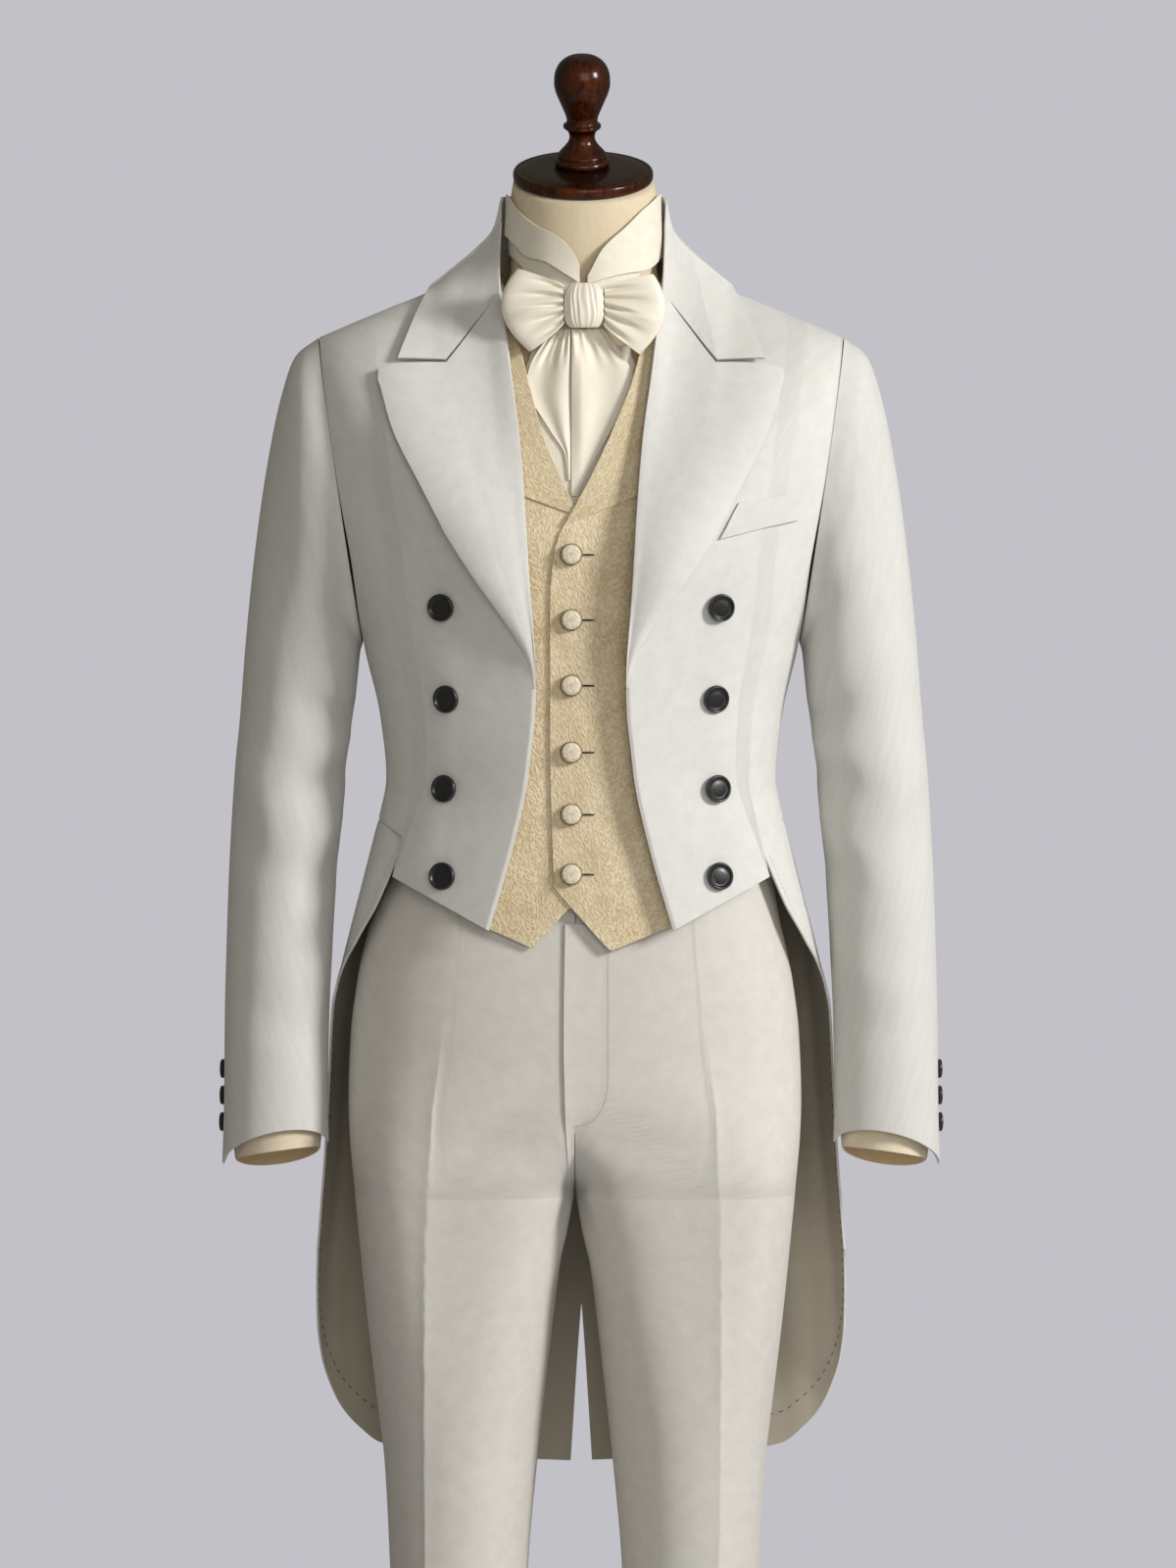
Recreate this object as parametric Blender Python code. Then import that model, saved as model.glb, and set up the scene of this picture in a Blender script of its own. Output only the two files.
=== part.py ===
# Evening tail coat suit worn by a limbless dress form: coat, waistcoat, trousers, shirt pieces and bow.
# Metres, +Z up, the chest faces -Y, the underside of the base is at z = 0.
# "left" and "right" are the wearer's; side is +1 for the wearer's left (+X) and -1 for the right.
import bpy
import numpy as np

# ---- driving sizes ----
GAP = 0.0004            # space left between neighbouring pieces at a seam
COAT_WALL = 0.0020      # coat cloth with its canvas
VEST_WALL = 0.0015      # waistcoat cloth
LEG_WALL = 0.0016       # trouser cloth
SHIRT_WALL = 0.0012     # shirt cloth
SATIN_WALL = 0.0012     # bow cloth
LAPEL_LIFT = 0.0016     # lapels and collar above the fronts that they lie on
VEST_OVER = -0.0063     # outer face of the lapped waistcoat front, from the coat's outer face
VEST_UNDER = -0.0087    # outer face of the waistcoat front below the lap
TAILS_DEPTH = -0.0114   # outer face of the hanging bow tails
SHIRT_DEPTH = -0.0138   # outer face of the shirt front
SIDE_Y = 0.004          # the side seams and shoulder seams lie in this plane
ROUND = 2.5             # roundness of the body sections
ARM_MID, ARM_HIGH, ARM_DEEP = 1.4240, 0.1240, 0.070   # middle, half height, half depth of the armhole
ARM_LOW = ARM_MID - ARM_HIGH
WAIST_SEAM = 1.1570     # the tails hang from here
NECK_X, NECK_Y, NECK_R = 0.0020, 0.0010, 0.0572       # centre and radius of the form's neck
NECK_WIDER = 0.0028     # the neck and what goes round it are this much wider than deep
NECK_TOP, NECK_LEAN = 1.6756, np.radians(22.0)        # its top slopes down to the front
BOW_X, BOW_Y = 0.0024, -0.0728                        # middle of the bow across, and from front to back
CROTCH = 0.8520
TROUSER_X = -0.0050     # the trousers hang slightly to the wearer's right
BASE_HALF = (0.235, 0.185)
BASE_THICK = 0.020
POST_R = 0.012
POST_X = 0.0960
FORM_FOOT = 0.9050
COAT_BUTTON_R, CUFF_BUTTON_R, VEST_BUTTON_R = 0.0112, 0.0078, 0.0088

# coat body: height, half width (armhole seam above 1.30), front depth, back depth
BODY = np.array([
    (1.030, 0.1960, 0.118, 0.118), (1.070, 0.1880, 0.119, 0.114), (1.110, 0.1770, 0.119, 0.104),
    (1.157, 0.1650, 0.119, 0.092), (1.190, 0.1590, 0.120, 0.088), (1.240, 0.1640, 0.123, 0.092),
    (1.300, 0.1775, 0.127, 0.105), (1.360, 0.1850, 0.130, 0.116), (1.424, 0.1960, 0.130, 0.120),
    (1.499, 0.2070, 0.130, 0.120), (1.549, 0.2136, 0.130, 0.120)])
# shoulder line of the coat body: distance from the middle, height
SHOULDER = np.array([
    (0.0000, 1.700), (0.0600, 1.650), (0.0750, 1.629), (0.0900, 1.613), (0.1064, 1.600),
    (0.1224, 1.5875), (0.1544, 1.574), (0.1864, 1.5605), (0.2136, 1.5488)])
# front edge of the coat, which is also the roll of its lapel: height, distance from the middle
COAT_EDGE = np.array([
    (1.0672, 0.0738), (1.1330, 0.0547), (1.1840, 0.0432), (1.2100, 0.0400), (1.2400, 0.0368),
    (1.2660, 0.0360), (1.3400, 0.0405), (1.4100, 0.0449), (1.4600, 0.0490), (1.5100, 0.0555),
    (1.5804, 0.0643), (1.6300, 0.0780)])
# lower edge of a coat front: share of the way to the side seam, distance from the middle, height
COAT_FOOT = np.array([
    (0.00, 0.0738, 1.0672), (0.35, 0.1130, 1.0885), (0.70, 0.1518, 1.1095), (0.80, 0.1440, 1.1421),
    (1.00, 0.1650, 1.1570)])
# outer edge of the coat lapel: height, distance from the middle
LAPEL_EDGE = np.array([
    (1.2600, 0.0375), (1.2680, 0.0385), (1.2775, 0.0408), (1.2900, 0.0462), (1.3023, 0.0530),
    (1.3200, 0.0645), (1.3480, 0.0832), (1.3780, 0.1020), (1.4191, 0.1254), (1.4669, 0.1500),
    (1.5000, 0.1602), (1.5080, 0.1626), (1.5150, 0.1620)])
# seam between lapel and collar, then the top edge of the lapel: share, distance, height
LAPEL_TOP = np.array([(0.00, 0.0643, 1.5800), (0.45, 0.1080, 1.5198), (0.90, 0.1502, 1.5186),
                      (1.00, 0.1620, 1.5150)])
# lower end of the collar: share, distance, height
COLLAR_END = np.array([(0.00, 0.0643, 1.5812), (0.50, 0.1090, 1.5226), (1.00, 0.1478, 1.5232)])
# collar over the shoulder: share of its width from the fold, distance from the middle, height
COLLAR_OVER = np.array([(0.00, 0.0676, 1.6600), (0.25, 0.0735, 1.6350), (0.50, 0.0880, 1.6178),
                        (0.75, 0.1050, 1.6032), (1.00, 0.1235, 1.5885)])
# opening edge of the waistcoat: height, distance from the middle towards the wearer's left
VEST_EDGE_LEFT = np.array([
    (1.1019, -0.0218), (1.2153, -0.0249), (1.3245, -0.0249), (1.3769, -0.0202), (1.3902, -0.0139),
    (1.4350, 0.0100), (1.4700, 0.0260), (1.5080, 0.0412), (1.5600, 0.0560), (1.6300, 0.0820)])
# the same on the side below the lap, distance towards the wearer's right
VEST_EDGE_RIGHT = np.array([
    (1.1019, -0.0150), (1.3245, -0.0150), (1.3900, -0.0040), (1.4122, 0.0077), (1.4600, 0.0290),
    (1.5085, 0.0431), (1.5600, 0.0570), (1.6300, 0.0820)])
# lower edge of a waistcoat front: distance from the middle, height
VEST_FOOT_LEFT = np.array([(-0.0218, 1.1019), (0.0189, 1.0503), (0.0689, 1.0722), (0.1100, 1.0980),
                           (0.1700, 1.1620)])
VEST_FOOT_RIGHT = np.array([(-0.0150, 1.1000), (0.0100, 1.0823), (0.0335, 1.0526), (0.0734, 1.0714),
                            (0.1100, 1.0980), (0.1700, 1.1620)])
# coat tails: height, half width, depth of the widest line, front depth, back depth
SKIRT = np.array([
    (0.610, 0.2215, 0.088, 0.100, 0.150), (0.700, 0.2215, 0.075, 0.100, 0.150),
    (0.761, 0.2207, 0.062, 0.100, 0.149), (0.830, 0.2156, 0.046, 0.100, 0.147),
    (0.886, 0.2109, 0.032, 0.105, 0.145), (0.950, 0.2070, 0.018, 0.108, 0.142),
    (1.000, 0.2040, 0.004, 0.111, 0.136), (1.040, 0.1950, 0.004, 0.116, 0.127),
    (1.110, 0.1770, 0.004, 0.119, 0.106), (1.157, 0.1650, 0.004, 0.119, 0.092)])
# front edge of a tail: height, distance from the middle
TAIL_EDGE = np.array([
    (0.6100, 0.2215), (0.7610, 0.2207), (0.8860, 0.2109), (0.9500, 0.2070), (0.9992, 0.2040), (1.0187, 0.1980), (1.0390, 0.1896), (1.0585, 0.1771), (1.0857, 0.1640),
    (1.1128, 0.1532), (1.1421, 0.1452), (1.1570, 0.1452)])
# lower edge of a tail: distance from the middle, height
TAIL_FOOT = np.array([
    (0.0000, 0.616), (0.1000, 0.620), (0.1658, 0.632), (0.1850, 0.646), (0.2009, 0.665),
    (0.2134, 0.696), (0.2200, 0.735)])
# back edge of a tail: height, distance past the middle
TAIL_VENT = np.array([(0.615, 0.0090), (0.736, 0.0010), (0.800, -0.0050), (0.950, -0.0150), (1.157, -0.0200)])
# sleeve rings from armhole to cuff: outer x, outer z, inner x, inner z, middle y, half depth, front rise
SLEEVE = np.array([
    (0.2144, 1.5485, 0.1783, 1.2995, 0.0040, 0.0700, 0.0000),
    (0.2330, 1.5335, 0.1800, 1.2940, 0.0040, 0.0730, 0.0000),
    (0.2456, 1.4980, 0.1812, 1.2860, 0.0040, 0.0740, 0.0000),
    (0.2568, 1.4430, 0.1826, 1.2720, 0.0045, 0.0730, 0.0000),
    (0.2664, 1.3750, 0.1850, 1.2500, 0.0060, 0.0710, 0.0000),
    (0.2736, 1.3060, 0.1890, 1.2250, 0.0080, 0.0680, 0.0000),
    (0.2795, 1.2300, 0.1925, 1.1900, 0.0090, 0.0655, 0.0000),
    (0.2860, 1.1500, 0.1975, 1.1350, 0.0080, 0.0620, 0.0000),
    (0.2890, 1.0700, 0.2025, 1.0650, 0.0030, 0.0580, 0.0015),
    (0.2905, 0.9900, 0.2055, 0.9900, -0.0060, 0.0540, 0.0045),
    (0.2905, 0.9300, 0.2060, 0.9350, -0.0150, 0.0500, 0.0105),
    (0.2915, 0.8755, 0.2050, 0.8930, -0.0220, 0.0470, 0.0190)])
# shirt cuff below its top ring: the same columns, and how much the front is lifted and the back lowered
CUFF = np.array([
    (0.2840, 0.9020, 0.2100, 0.9130, -0.0192, 0.0418, 0.0030, 0.0040),
    (0.2812, 0.8792, 0.2120, 0.8890, -0.0200, 0.0400, -0.0040, 0.0075)])
# lower and upper edges of the neckband and of the turned collar: reach from the middle, height
BAND_FOOT = np.array([(0.0, 1.541), (0.020, 1.550), (0.030, 1.570), (0.040, 1.590), (0.048, 1.603), (0.061, 1.618)])
BAND_TOP = np.array([(0.0, 1.584), (0.005, 1.597), (0.015, 1.614), (0.030, 1.627), (0.044, 1.640), (0.061, 1.661)])
FALL_FOOT_LEFT = np.array([(0.0, 1.586), (0.020, 1.593), (0.036, 1.5973), (0.044, 1.599), (0.053, 1.604),
                           (0.061, 1.6150)])
FALL_FOOT_RIGHT = np.array([(0.0, 1.586), (0.013, 1.5948), (0.021, 1.6003), (0.029, 1.6059), (0.043, 1.6106),
                            (0.051, 1.6197), (0.061, 1.6320)])
FALL_TOP_LEFT = np.array([(0.0, 1.5900), (0.0035, 1.5945), (0.0075, 1.6025), (0.0125, 1.6125), (0.0180, 1.6200),
                          (0.0240, 1.6260), (0.0310, 1.6325), (0.0380, 1.6400), (0.0450, 1.6480), (0.0530, 1.6560),
                          (0.061, 1.6660)])
FALL_TOP_RIGHT = np.array([(0.0, 1.5900), (0.0035, 1.6040), (0.0070, 1.6115), (0.0124, 1.6187), (0.0180, 1.6245),
                           (0.0244, 1.6290), (0.0320, 1.6328), (0.0390, 1.6372), (0.0450, 1.6425), (0.0530, 1.6520),
                           (0.061, 1.6660)])
# turned finial: radius, distance along its axis
KNOB = [(0.0195, 0.0), (0.0218, 0.0012), (0.0226, 0.0034), (0.0216, 0.0058), (0.0200, 0.0072),
        (0.0202, 0.0086), (0.0180, 0.0120), (0.0140, 0.0165), (0.0113, 0.0205), (0.0104, 0.0238),
        (0.0110, 0.0275), (0.0132, 0.0305), (0.0154, 0.0325), (0.0154, 0.0340), (0.0136, 0.0355),
        (0.0126, 0.0375), (0.0130, 0.0405), (0.0154, 0.0470), (0.0188, 0.0550), (0.0216, 0.0620),
        (0.0229, 0.0685), (0.0226, 0.0755), (0.0204, 0.0825), (0.0160, 0.0880), (0.0095, 0.0915)]
# bow loop: reach at its middle, how much less at its ends, lean; height of its middle, half height
LOOPS = {1: (0.0646, 0.0142, 0.0055, 1.5618, 0.0323), -1: (0.0663, 0.0176, 0.0048, 1.5653, 0.0334)}
# hanging ends of the bow: height, reach of the outer and of the inner edge
TAIL_OUTLINE = {1: np.array([(1.4140, -0.0035), (1.4400, 0.0090), (1.4750, 0.0285), (1.4850, 0.0345),
                             (1.4973, 0.0398), (1.5083, 0.0422), (1.5165, 0.0408), (1.5302, 0.0325),
                             (1.5502, 0.0180)]), -1: np.array([
                                 (1.4270, 0.0100), (1.4473, 0.0126), (1.4650, 0.0231), (1.4878, 0.0375),
                                 (1.4946, 0.0417), (1.5028, 0.0446), (1.5192, 0.0416), (1.5439, 0.0265),
                                 (1.5502, 0.0205)])}
TAIL_INNER = {1: np.array([(1.4140, -0.0075), (1.5502, -0.0078)]), -1: np.array([(1.4270, 0.0086), (1.5502, 0.0086)])}
# trousers: height, half width, front depth, back depth
LEGS = np.array([
    (0.040, 0.145, 0.093, 0.094), (0.300, 0.145, 0.090, 0.092), (0.450, 0.147, 0.089, 0.092),
    (0.545, 0.1508, 0.090, 0.093), (0.630, 0.155, 0.092, 0.096), (0.675, 0.1602, 0.094, 0.099),
    (0.750, 0.169, 0.098, 0.105), (0.800, 0.174, 0.101, 0.110), (0.852, 0.179, 0.105, 0.116),
    (0.900, 0.1835, 0.107, 0.121), (0.930, 0.1845, 0.108, 0.122), (0.980, 0.1828, 0.108, 0.120),
    (1.030, 0.1765, 0.106, 0.112), (1.0735, 0.1665, 0.104, 0.101), (1.114, 0.155, 0.102, 0.089),
    (1.130, 0.1520, 0.1030, 0.0865), (1.168, 0.1477, 0.1065, 0.0806)])
# inner side of a leg: height, distance from the middle of the trousers
INSEAM = np.array([
    (0.040, 0.047), (0.300, 0.045), (0.450, 0.042), (0.550, 0.038), (0.630, 0.031), (0.690, 0.0245),
    (0.750, 0.0175), (0.810, 0.0095), (0.840, 0.0030), (0.852, 0.0002)])
LEG_ROWS = (0.040, 0.300, 0.545, 0.680, 0.760, 0.815, 0.852, 0.858, 0.870, 0.890, 0.925, 0.975, 1.025, 1.0735, 1.130)
# limbless form: height, half width, front depth, back depth
FORM = np.array([
    (0.905, 0.140, 0.080, 0.090), (0.918, 0.158, 0.093, 0.105), (0.960, 0.172, 0.100, 0.113),
    (1.020, 0.1665, 0.0985, 0.1065), (1.070, 0.156, 0.097, 0.092), (1.115, 0.148, 0.097, 0.0815),
    (1.190, 0.1445, 0.1050, 0.0730), (1.240, 0.1490, 0.1080, 0.0770), (1.300, 0.1620, 0.1115, 0.0900),
    (1.360, 0.1670, 0.1120, 0.1000), (1.420, 0.1740, 0.1000, 0.1020), (1.475, 0.1770, 0.0770, 0.0880),
    (1.510, 0.1700, 0.0610, 0.0740), (1.535, 0.1500, 0.0500, 0.0640), (1.553, 0.1120, 0.0430, 0.0580),
    (1.568, 0.0860, 0.0430, 0.0560), (1.584, 0.0680, 0.0460, 0.0555), (1.602, 0.0602, 0.0502, 0.0560),
    (1.625, 0.0593, 0.0542, 0.0567), (1.650, 0.0600, 0.0560, 0.0570)])

MATERIALS = {
    "coat_wool": ((0.74, 0.72, 0.66, 1.0), 0.0, 0.85),
    "vest_cloth": ((0.78, 0.66, 0.45, 1.0), 0.0, 0.75),
    "trouser_wool": ((0.62, 0.61, 0.57, 1.0), 0.0, 0.85),
    "shirt_cotton": ((0.90, 0.86, 0.76, 1.0), 0.0, 0.70),
    "bow_satin": ((0.92, 0.88, 0.78, 1.0), 0.0, 0.40),
    "form_linen": ((0.83, 0.70, 0.48, 1.0), 0.0, 0.80),
    "dark_wood": ((0.09, 0.025, 0.015, 1.0), 0.0, 0.22),
    "button_horn": ((0.02, 0.02, 0.022, 1.0), 0.0, 0.35),
    "stand_metal": ((0.05, 0.05, 0.05, 1.0), 0.6, 0.45),
}


# ---- ground tools ----
def clear_scene():
    for item in list(bpy.data.objects):
        bpy.data.objects.remove(item, do_unlink=True)


def material(name):
    found = bpy.data.materials.get(name)
    if found:
        return found
    colour, metal, rough = MATERIALS[name]
    made = bpy.data.materials.new(name)
    made.use_nodes = True
    shader = made.node_tree.nodes["Principled BSDF"]
    shader.inputs["Base Color"].default_value = colour
    shader.inputs["Metallic"].default_value = metal
    shader.inputs["Roughness"].default_value = rough
    made.diffuse_color = colour
    return made


def ramp(low, high, value):
    """Smooth step from 0 at low to 1 at high."""
    t = np.clip((np.asarray(value, float) - low) / (high - low), 0.0, 1.0)
    return t * t * (3.0 - 2.0 * t)


def column(table, height, index=1):
    return np.interp(height, table[:, 0], table[:, index])


def bent(value, power):
    """Keeps the sign of value and raises its size to power."""
    return np.sign(value) * np.abs(value) ** power


def put(name, points, faces, cloth):
    """One closed object, turned so that its faces look outward."""
    points = np.asarray(points, float)
    corners = np.array([(f[0], f[i], f[i + 1]) for f in faces for i in range(1, len(f) - 1)])
    a, b, c = (points[corners[:, i]] for i in range(3))
    if np.einsum("ij,ij->i", a, np.cross(b, c)).sum() < 0.0:
        faces = [tuple(reversed(f)) for f in faces]
    mesh = bpy.data.meshes.new(name)
    mesh.from_pydata(points.tolist(), [], faces)
    mesh.polygons.foreach_set("use_smooth", [True] * len(faces))
    mesh.update()
    made = bpy.data.objects.new(name, mesh)
    bpy.context.scene.collection.objects.link(made)
    mesh.materials.append(material(cloth))
    return made


def normals(grid, centre, loop=False):
    """Unit directions out of a grid of points, away from the line through centre."""
    down = np.gradient(grid, axis=0)
    if loop:
        across = np.roll(grid, -1, axis=1) - np.roll(grid, 1, axis=1)
    else:
        across = np.gradient(grid, axis=1)
    out = np.cross(down, across)
    out /= np.linalg.norm(out, axis=2, keepdims=True) + 1e-12
    away = grid - np.asarray(centre)
    return out if (out * away).sum() > 0.0 else -out


def square_off(out, edges):
    """Drops one direction from the normals along an edge, so that seams stay parallel."""
    for edge, axis in edges:
        ends = {"first_row": out[0], "last_row": out[-1], "first_col": out[:, 0], "last_col": out[:, -1]}
        part = ends[edge]
        part[..., axis] = 0.0
        part /= np.linalg.norm(part, axis=-1, keepdims=True) + 1e-12
    return out


def wall(name, grid, face, thick, cloth, centre=(0.0, SIDE_Y, 1.3), loop=False, edges=(), out=None):
    """Closed wall of cloth: its outer face lies face outside the grid, its inner face thick further in."""
    if out is None:
        out = square_off(normals(grid, centre, loop), edges)
    rows, cols = grid.shape[:2]
    outer, inner = grid + out * face, grid + out * (face - thick)
    points = np.concatenate([outer.reshape(-1, 3), inner.reshape(-1, 3)])
    back = rows * cols
    last = cols if loop else cols - 1
    faces = []
    for i in range(rows - 1):
        for j in range(last):
            a, b = i * cols + j, i * cols + (j + 1) % cols
            c, d = b + cols, a + cols
            faces += [(a, b, c, d), (back + a, back + d, back + c, back + b)]
    for j in range(last):
        a, b = j, (j + 1) % cols
        faces.append((a, back + a, back + b, b))
        a, b = a + (rows - 1) * cols, b + (rows - 1) * cols
        faces.append((a, b, back + b, back + a))
    if not loop:
        for i in range(rows - 1):
            a, d = i * cols, (i + 1) * cols
            faces.append((a, d, back + d, back + a))
            a, d = a + cols - 1, d + cols - 1
            faces.append((a, back + a, back + d, d))
    return put(name, points, faces, cloth)


def loft(name, rings, cloth):
    """Solid through closed rings of points, its two ends filled flat."""
    rings = np.asarray(rings, float)
    rows, cols = rings.shape[:2]
    faces = [tuple(range(cols))[::-1], tuple(range((rows - 1) * cols, rows * cols))]
    for i in range(rows - 1):
        for j in range(cols):
            a, b = i * cols + j, i * cols + (j + 1) % cols
            faces.append((a, b, b + cols, a + cols))
    return put(name, rings.reshape(-1, 3), faces, cloth)


def turned(name, profile, centre, axis, cloth, sides=20, squash=1.0):
    """Solid of revolution: profile holds radius and distance along the axis from the centre."""
    axis = np.asarray(axis, float) / np.linalg.norm(axis)
    side = np.cross((0.0, 0.0, 1.0) if abs(axis[2]) < 0.9 else (0.0, 1.0, 0.0), axis)
    side /= np.linalg.norm(side)
    other = np.cross(axis, side)
    turn = np.arange(sides) * 2.0 * np.pi / sides
    circle = np.cos(turn)[:, None] * side + np.sin(turn)[:, None] * other * squash
    rings = [np.asarray(centre) + circle * r + axis * h for r, h in profile]
    return loft(name, rings, cloth)


# ---- the body's surface ----
def half_width(height):
    return column(BODY, height)


def chest_line(share, front):
    """Height where the upright chest ends and the shoulder begins."""
    return 1.370 + 0.054 * share ** 2 if front else np.full_like(share, ARM_MID)


def shoulder_top(share):
    return np.interp(share * SHOULDER[-1, 0], SHOULDER[:, 0], SHOULDER[:, 1])


def body_y(x, height, front=True):
    """Depth of the coat's outer face: rounded sections that meet the armhole, drawn back to the shoulder."""
    share = np.minimum(np.abs(x) / half_width(height), 1.0)
    middle = chest_line(share, front)
    low = np.minimum(height, middle)
    span = column(BODY, low, 2) + SIDE_Y if front else column(BODY, low, 3) - SIDE_Y
    lift = np.clip((low - ARM_MID) / ARM_HIGH, -1.0, 1.0)
    arm = np.where(low > ARM_LOW, ARM_DEEP * np.sqrt(1.0 - lift ** 2), 0.0)
    wide = (1.0 - (arm / span) ** ROUND) ** (1.0 / ROUND)
    depth = span * (1.0 - (share * wide) ** ROUND) ** (1.0 / ROUND)
    rise = np.clip((height - middle) / (shoulder_top(share) - middle), 0.0, 1.0)
    side = ramp(0.3, 1.0, share)
    power = (1.35 if front else 1.60) * (1.0 - side) + 2.0 * side
    root = (0.95 if front else 0.80) * (1.0 - side) + 0.5 * side
    depth = depth * (1.0 - rise ** power) ** root
    return SIDE_Y - GAP / 2 - depth if front else SIDE_Y + GAP / 2 + depth


def on_body(x, height, front=True):
    return np.stack([x, body_y(x, height, front), height], axis=-1)


def body_grid(shares, inner, outer, foot, top_rise, low_rows, high_rows, front=True, foot_share=None):
    """Grid of a panel: columns between two edges given as shares of the half width, rows from the foot up.
    foot_share gives the columns another place along the lower edge."""
    k = np.asarray(shares)[None, :]
    low = np.linspace(0.0, 1.0, low_rows + 1)[:, None]
    turn = np.linspace(0.0, 1.0, high_rows + 1)[1:, None]
    share = np.repeat(k, low_rows + high_rows + 1, axis=0)
    for _ in range(14):
        middle, top = chest_line(share, front), shoulder_top(share)
        start = np.broadcast_to(foot(k), share[:low_rows + 1].shape)
        lower = start + (middle[:low_rows + 1] - start) * low
        rise = np.sin(turn * np.arcsin(np.clip(top_rise(share[low_rows + 1:]), 0.0, 1.0)))
        upper = middle[low_rows + 1:] + (top - middle)[low_rows + 1:] * rise
        height = np.concatenate([lower, upper])
        share = inner(height) + (outer(height) - inner(height)) * k
        if foot_share is not None:
            pull = np.concatenate([np.clip(1.0 - low / 0.28, 0.0, 1.0), turn * 0.0])
            aim = foot_share(k) + (inner(height) - foot_share(k[:, :1])) * (1.0 - k)
            share = share * (1.0 - pull) + aim * pull
    return on_body(share * half_width(height), height, front)


def body_normal(x, height, front=True):
    """Unit direction out of the coat's surface, from its slopes across and up."""
    step = 0.003
    across = (body_y(x + step, height, front) - body_y(x - step, height, front)) / (2 * step)
    up = (body_y(x, height + step, front) - body_y(x, height - step, front)) / (2 * step)
    sign = -1.0 if front else 1.0
    out = np.stack([-across * sign, np.full_like(across, sign), -up * sign], axis=-1)
    return out / np.linalg.norm(out, axis=-1, keepdims=True)


def mirrored(grid, side):
    out = grid.copy()
    out[..., 0] *= side
    return out


def side_name(side):
    return "left" if side > 0 else "right"


def patch(left, right, bottom, top):
    """Coons surface in x and z between four edges, given as arrays of points."""
    v = np.linspace(0.0, 1.0, len(left))[:, None, None]
    k = np.linspace(0.0, 1.0, len(bottom))[None, :, None]
    ruled = (1 - v) * bottom[None] + v * top[None] + (1 - k) * left[:, None] + k * right[:, None]
    corner = (1 - v) * ((1 - k) * bottom[0] + k * bottom[-1]) + v * ((1 - k) * top[0] + k * top[-1])
    return ruled - corner


def edge_points(table, heights):
    return np.stack([column(table, heights), heights], axis=-1)


# ---- coat ----
FRONT_SHARES = np.array([0, 0.12, 0.24, 0.36, 0.48, 0.59, 0.70, 0.80, 0.89, 0.955, 0.988, 1.0])
BACK_SHARES = np.array([0, 0.18, 0.36, 0.52, 0.68, 0.81, 0.91, 0.975, 1.0])


def panel_normals(grid, edges):
    """Normals of a coat panel, square to the side seam below the armhole."""
    out = square_off(normals(grid, (0.0, SIDE_Y, 1.3)), edges)
    low = grid[:, -1, 2] < ARM_LOW + 0.002
    out[low, -1, 1] = 0.0
    out[:, -1] /= np.linalg.norm(out[:, -1], axis=-1, keepdims=True)
    return out


def front_roll(x, height):
    """How far a front stands off the body by its rolled edge and under the outer part of its lapel."""
    edge = np.where(height < 1.26, column(COAT_EDGE, height), column(LAPEL_EDGE, height))
    most = (0.0085 + 0.0030 * ramp(1.10, 1.20, height)) * (1.0 - ramp(1.34, 1.50, height))
    wide = 0.056 - 0.006 * ramp(1.16, 1.10, height) - 0.017 * ramp(1.25, 1.32, height)
    return most * (1.0 - ramp(0.0, 1.0, (x - edge) / wide)) * (1.0 - ramp(0.130, 0.165, x))


def coat_front(side):
    def inner(height):
        return column(COAT_EDGE, height) / half_width(height)

    def foot(k):
        return np.interp(k, COAT_FOOT[:, 0], COAT_FOOT[:, 2])

    def foot_share(k):
        return np.interp(k, COAT_FOOT[:, 0], COAT_FOOT[:, 1]) / half_width(foot(k))

    grid = body_grid(FRONT_SHARES, inner, np.ones_like, foot, np.ones_like, 8, 6, True, foot_share)
    out = panel_normals(grid, (("last_row", 1),))
    grid = grid + out * front_roll(grid[..., 0], grid[..., 2])[..., None]
    out = panel_normals(grid, (("last_row", 1),))
    name = "coat_front_" + side_name(side)
    wall(name, mirrored(grid, side), 0.0, COAT_WALL, "coat_wool", out=mirrored(out, side))


def coat_back(side):
    def inner(height):
        return np.full_like(height, 0.0012)

    def top_rise(share):
        return np.minimum(1.0, 0.70 + 0.30 * (share / 0.36) ** 2)

    def foot(k):
        return np.full_like(k, WAIST_SEAM)

    grid = body_grid(BACK_SHARES, inner, np.ones_like, foot, top_rise, 6, 6, False)
    out = panel_normals(grid, (("last_row", 1), ("first_col", 0)))
    name = "coat_back_" + side_name(side)
    wall(name, mirrored(grid, side), 0.0, COAT_WALL, "coat_wool", out=mirrored(out, side))


def skirt_point(turn, height, side):
    """Point of a tail: turn is 0 at the widest line and a quarter at the centre back."""
    wide, line, front, back = (column(SKIRT, height, i) for i in range(1, 5))
    power = 2.0 / ROUND
    x = wide * np.abs(np.cos(turn)) ** power
    span = np.where(turn < 0.0, front + line, back - line)
    y = line + span * bent(np.sin(turn), power)
    vent = column(TAIL_VENT, height)
    x = vent + x * (wide - vent) / wide
    if side < 0:
        y = y - 0.0046 * (1.0 - ramp(0.030, 0.068, x))
    return np.stack([x * side, y, height], axis=-1)


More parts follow.
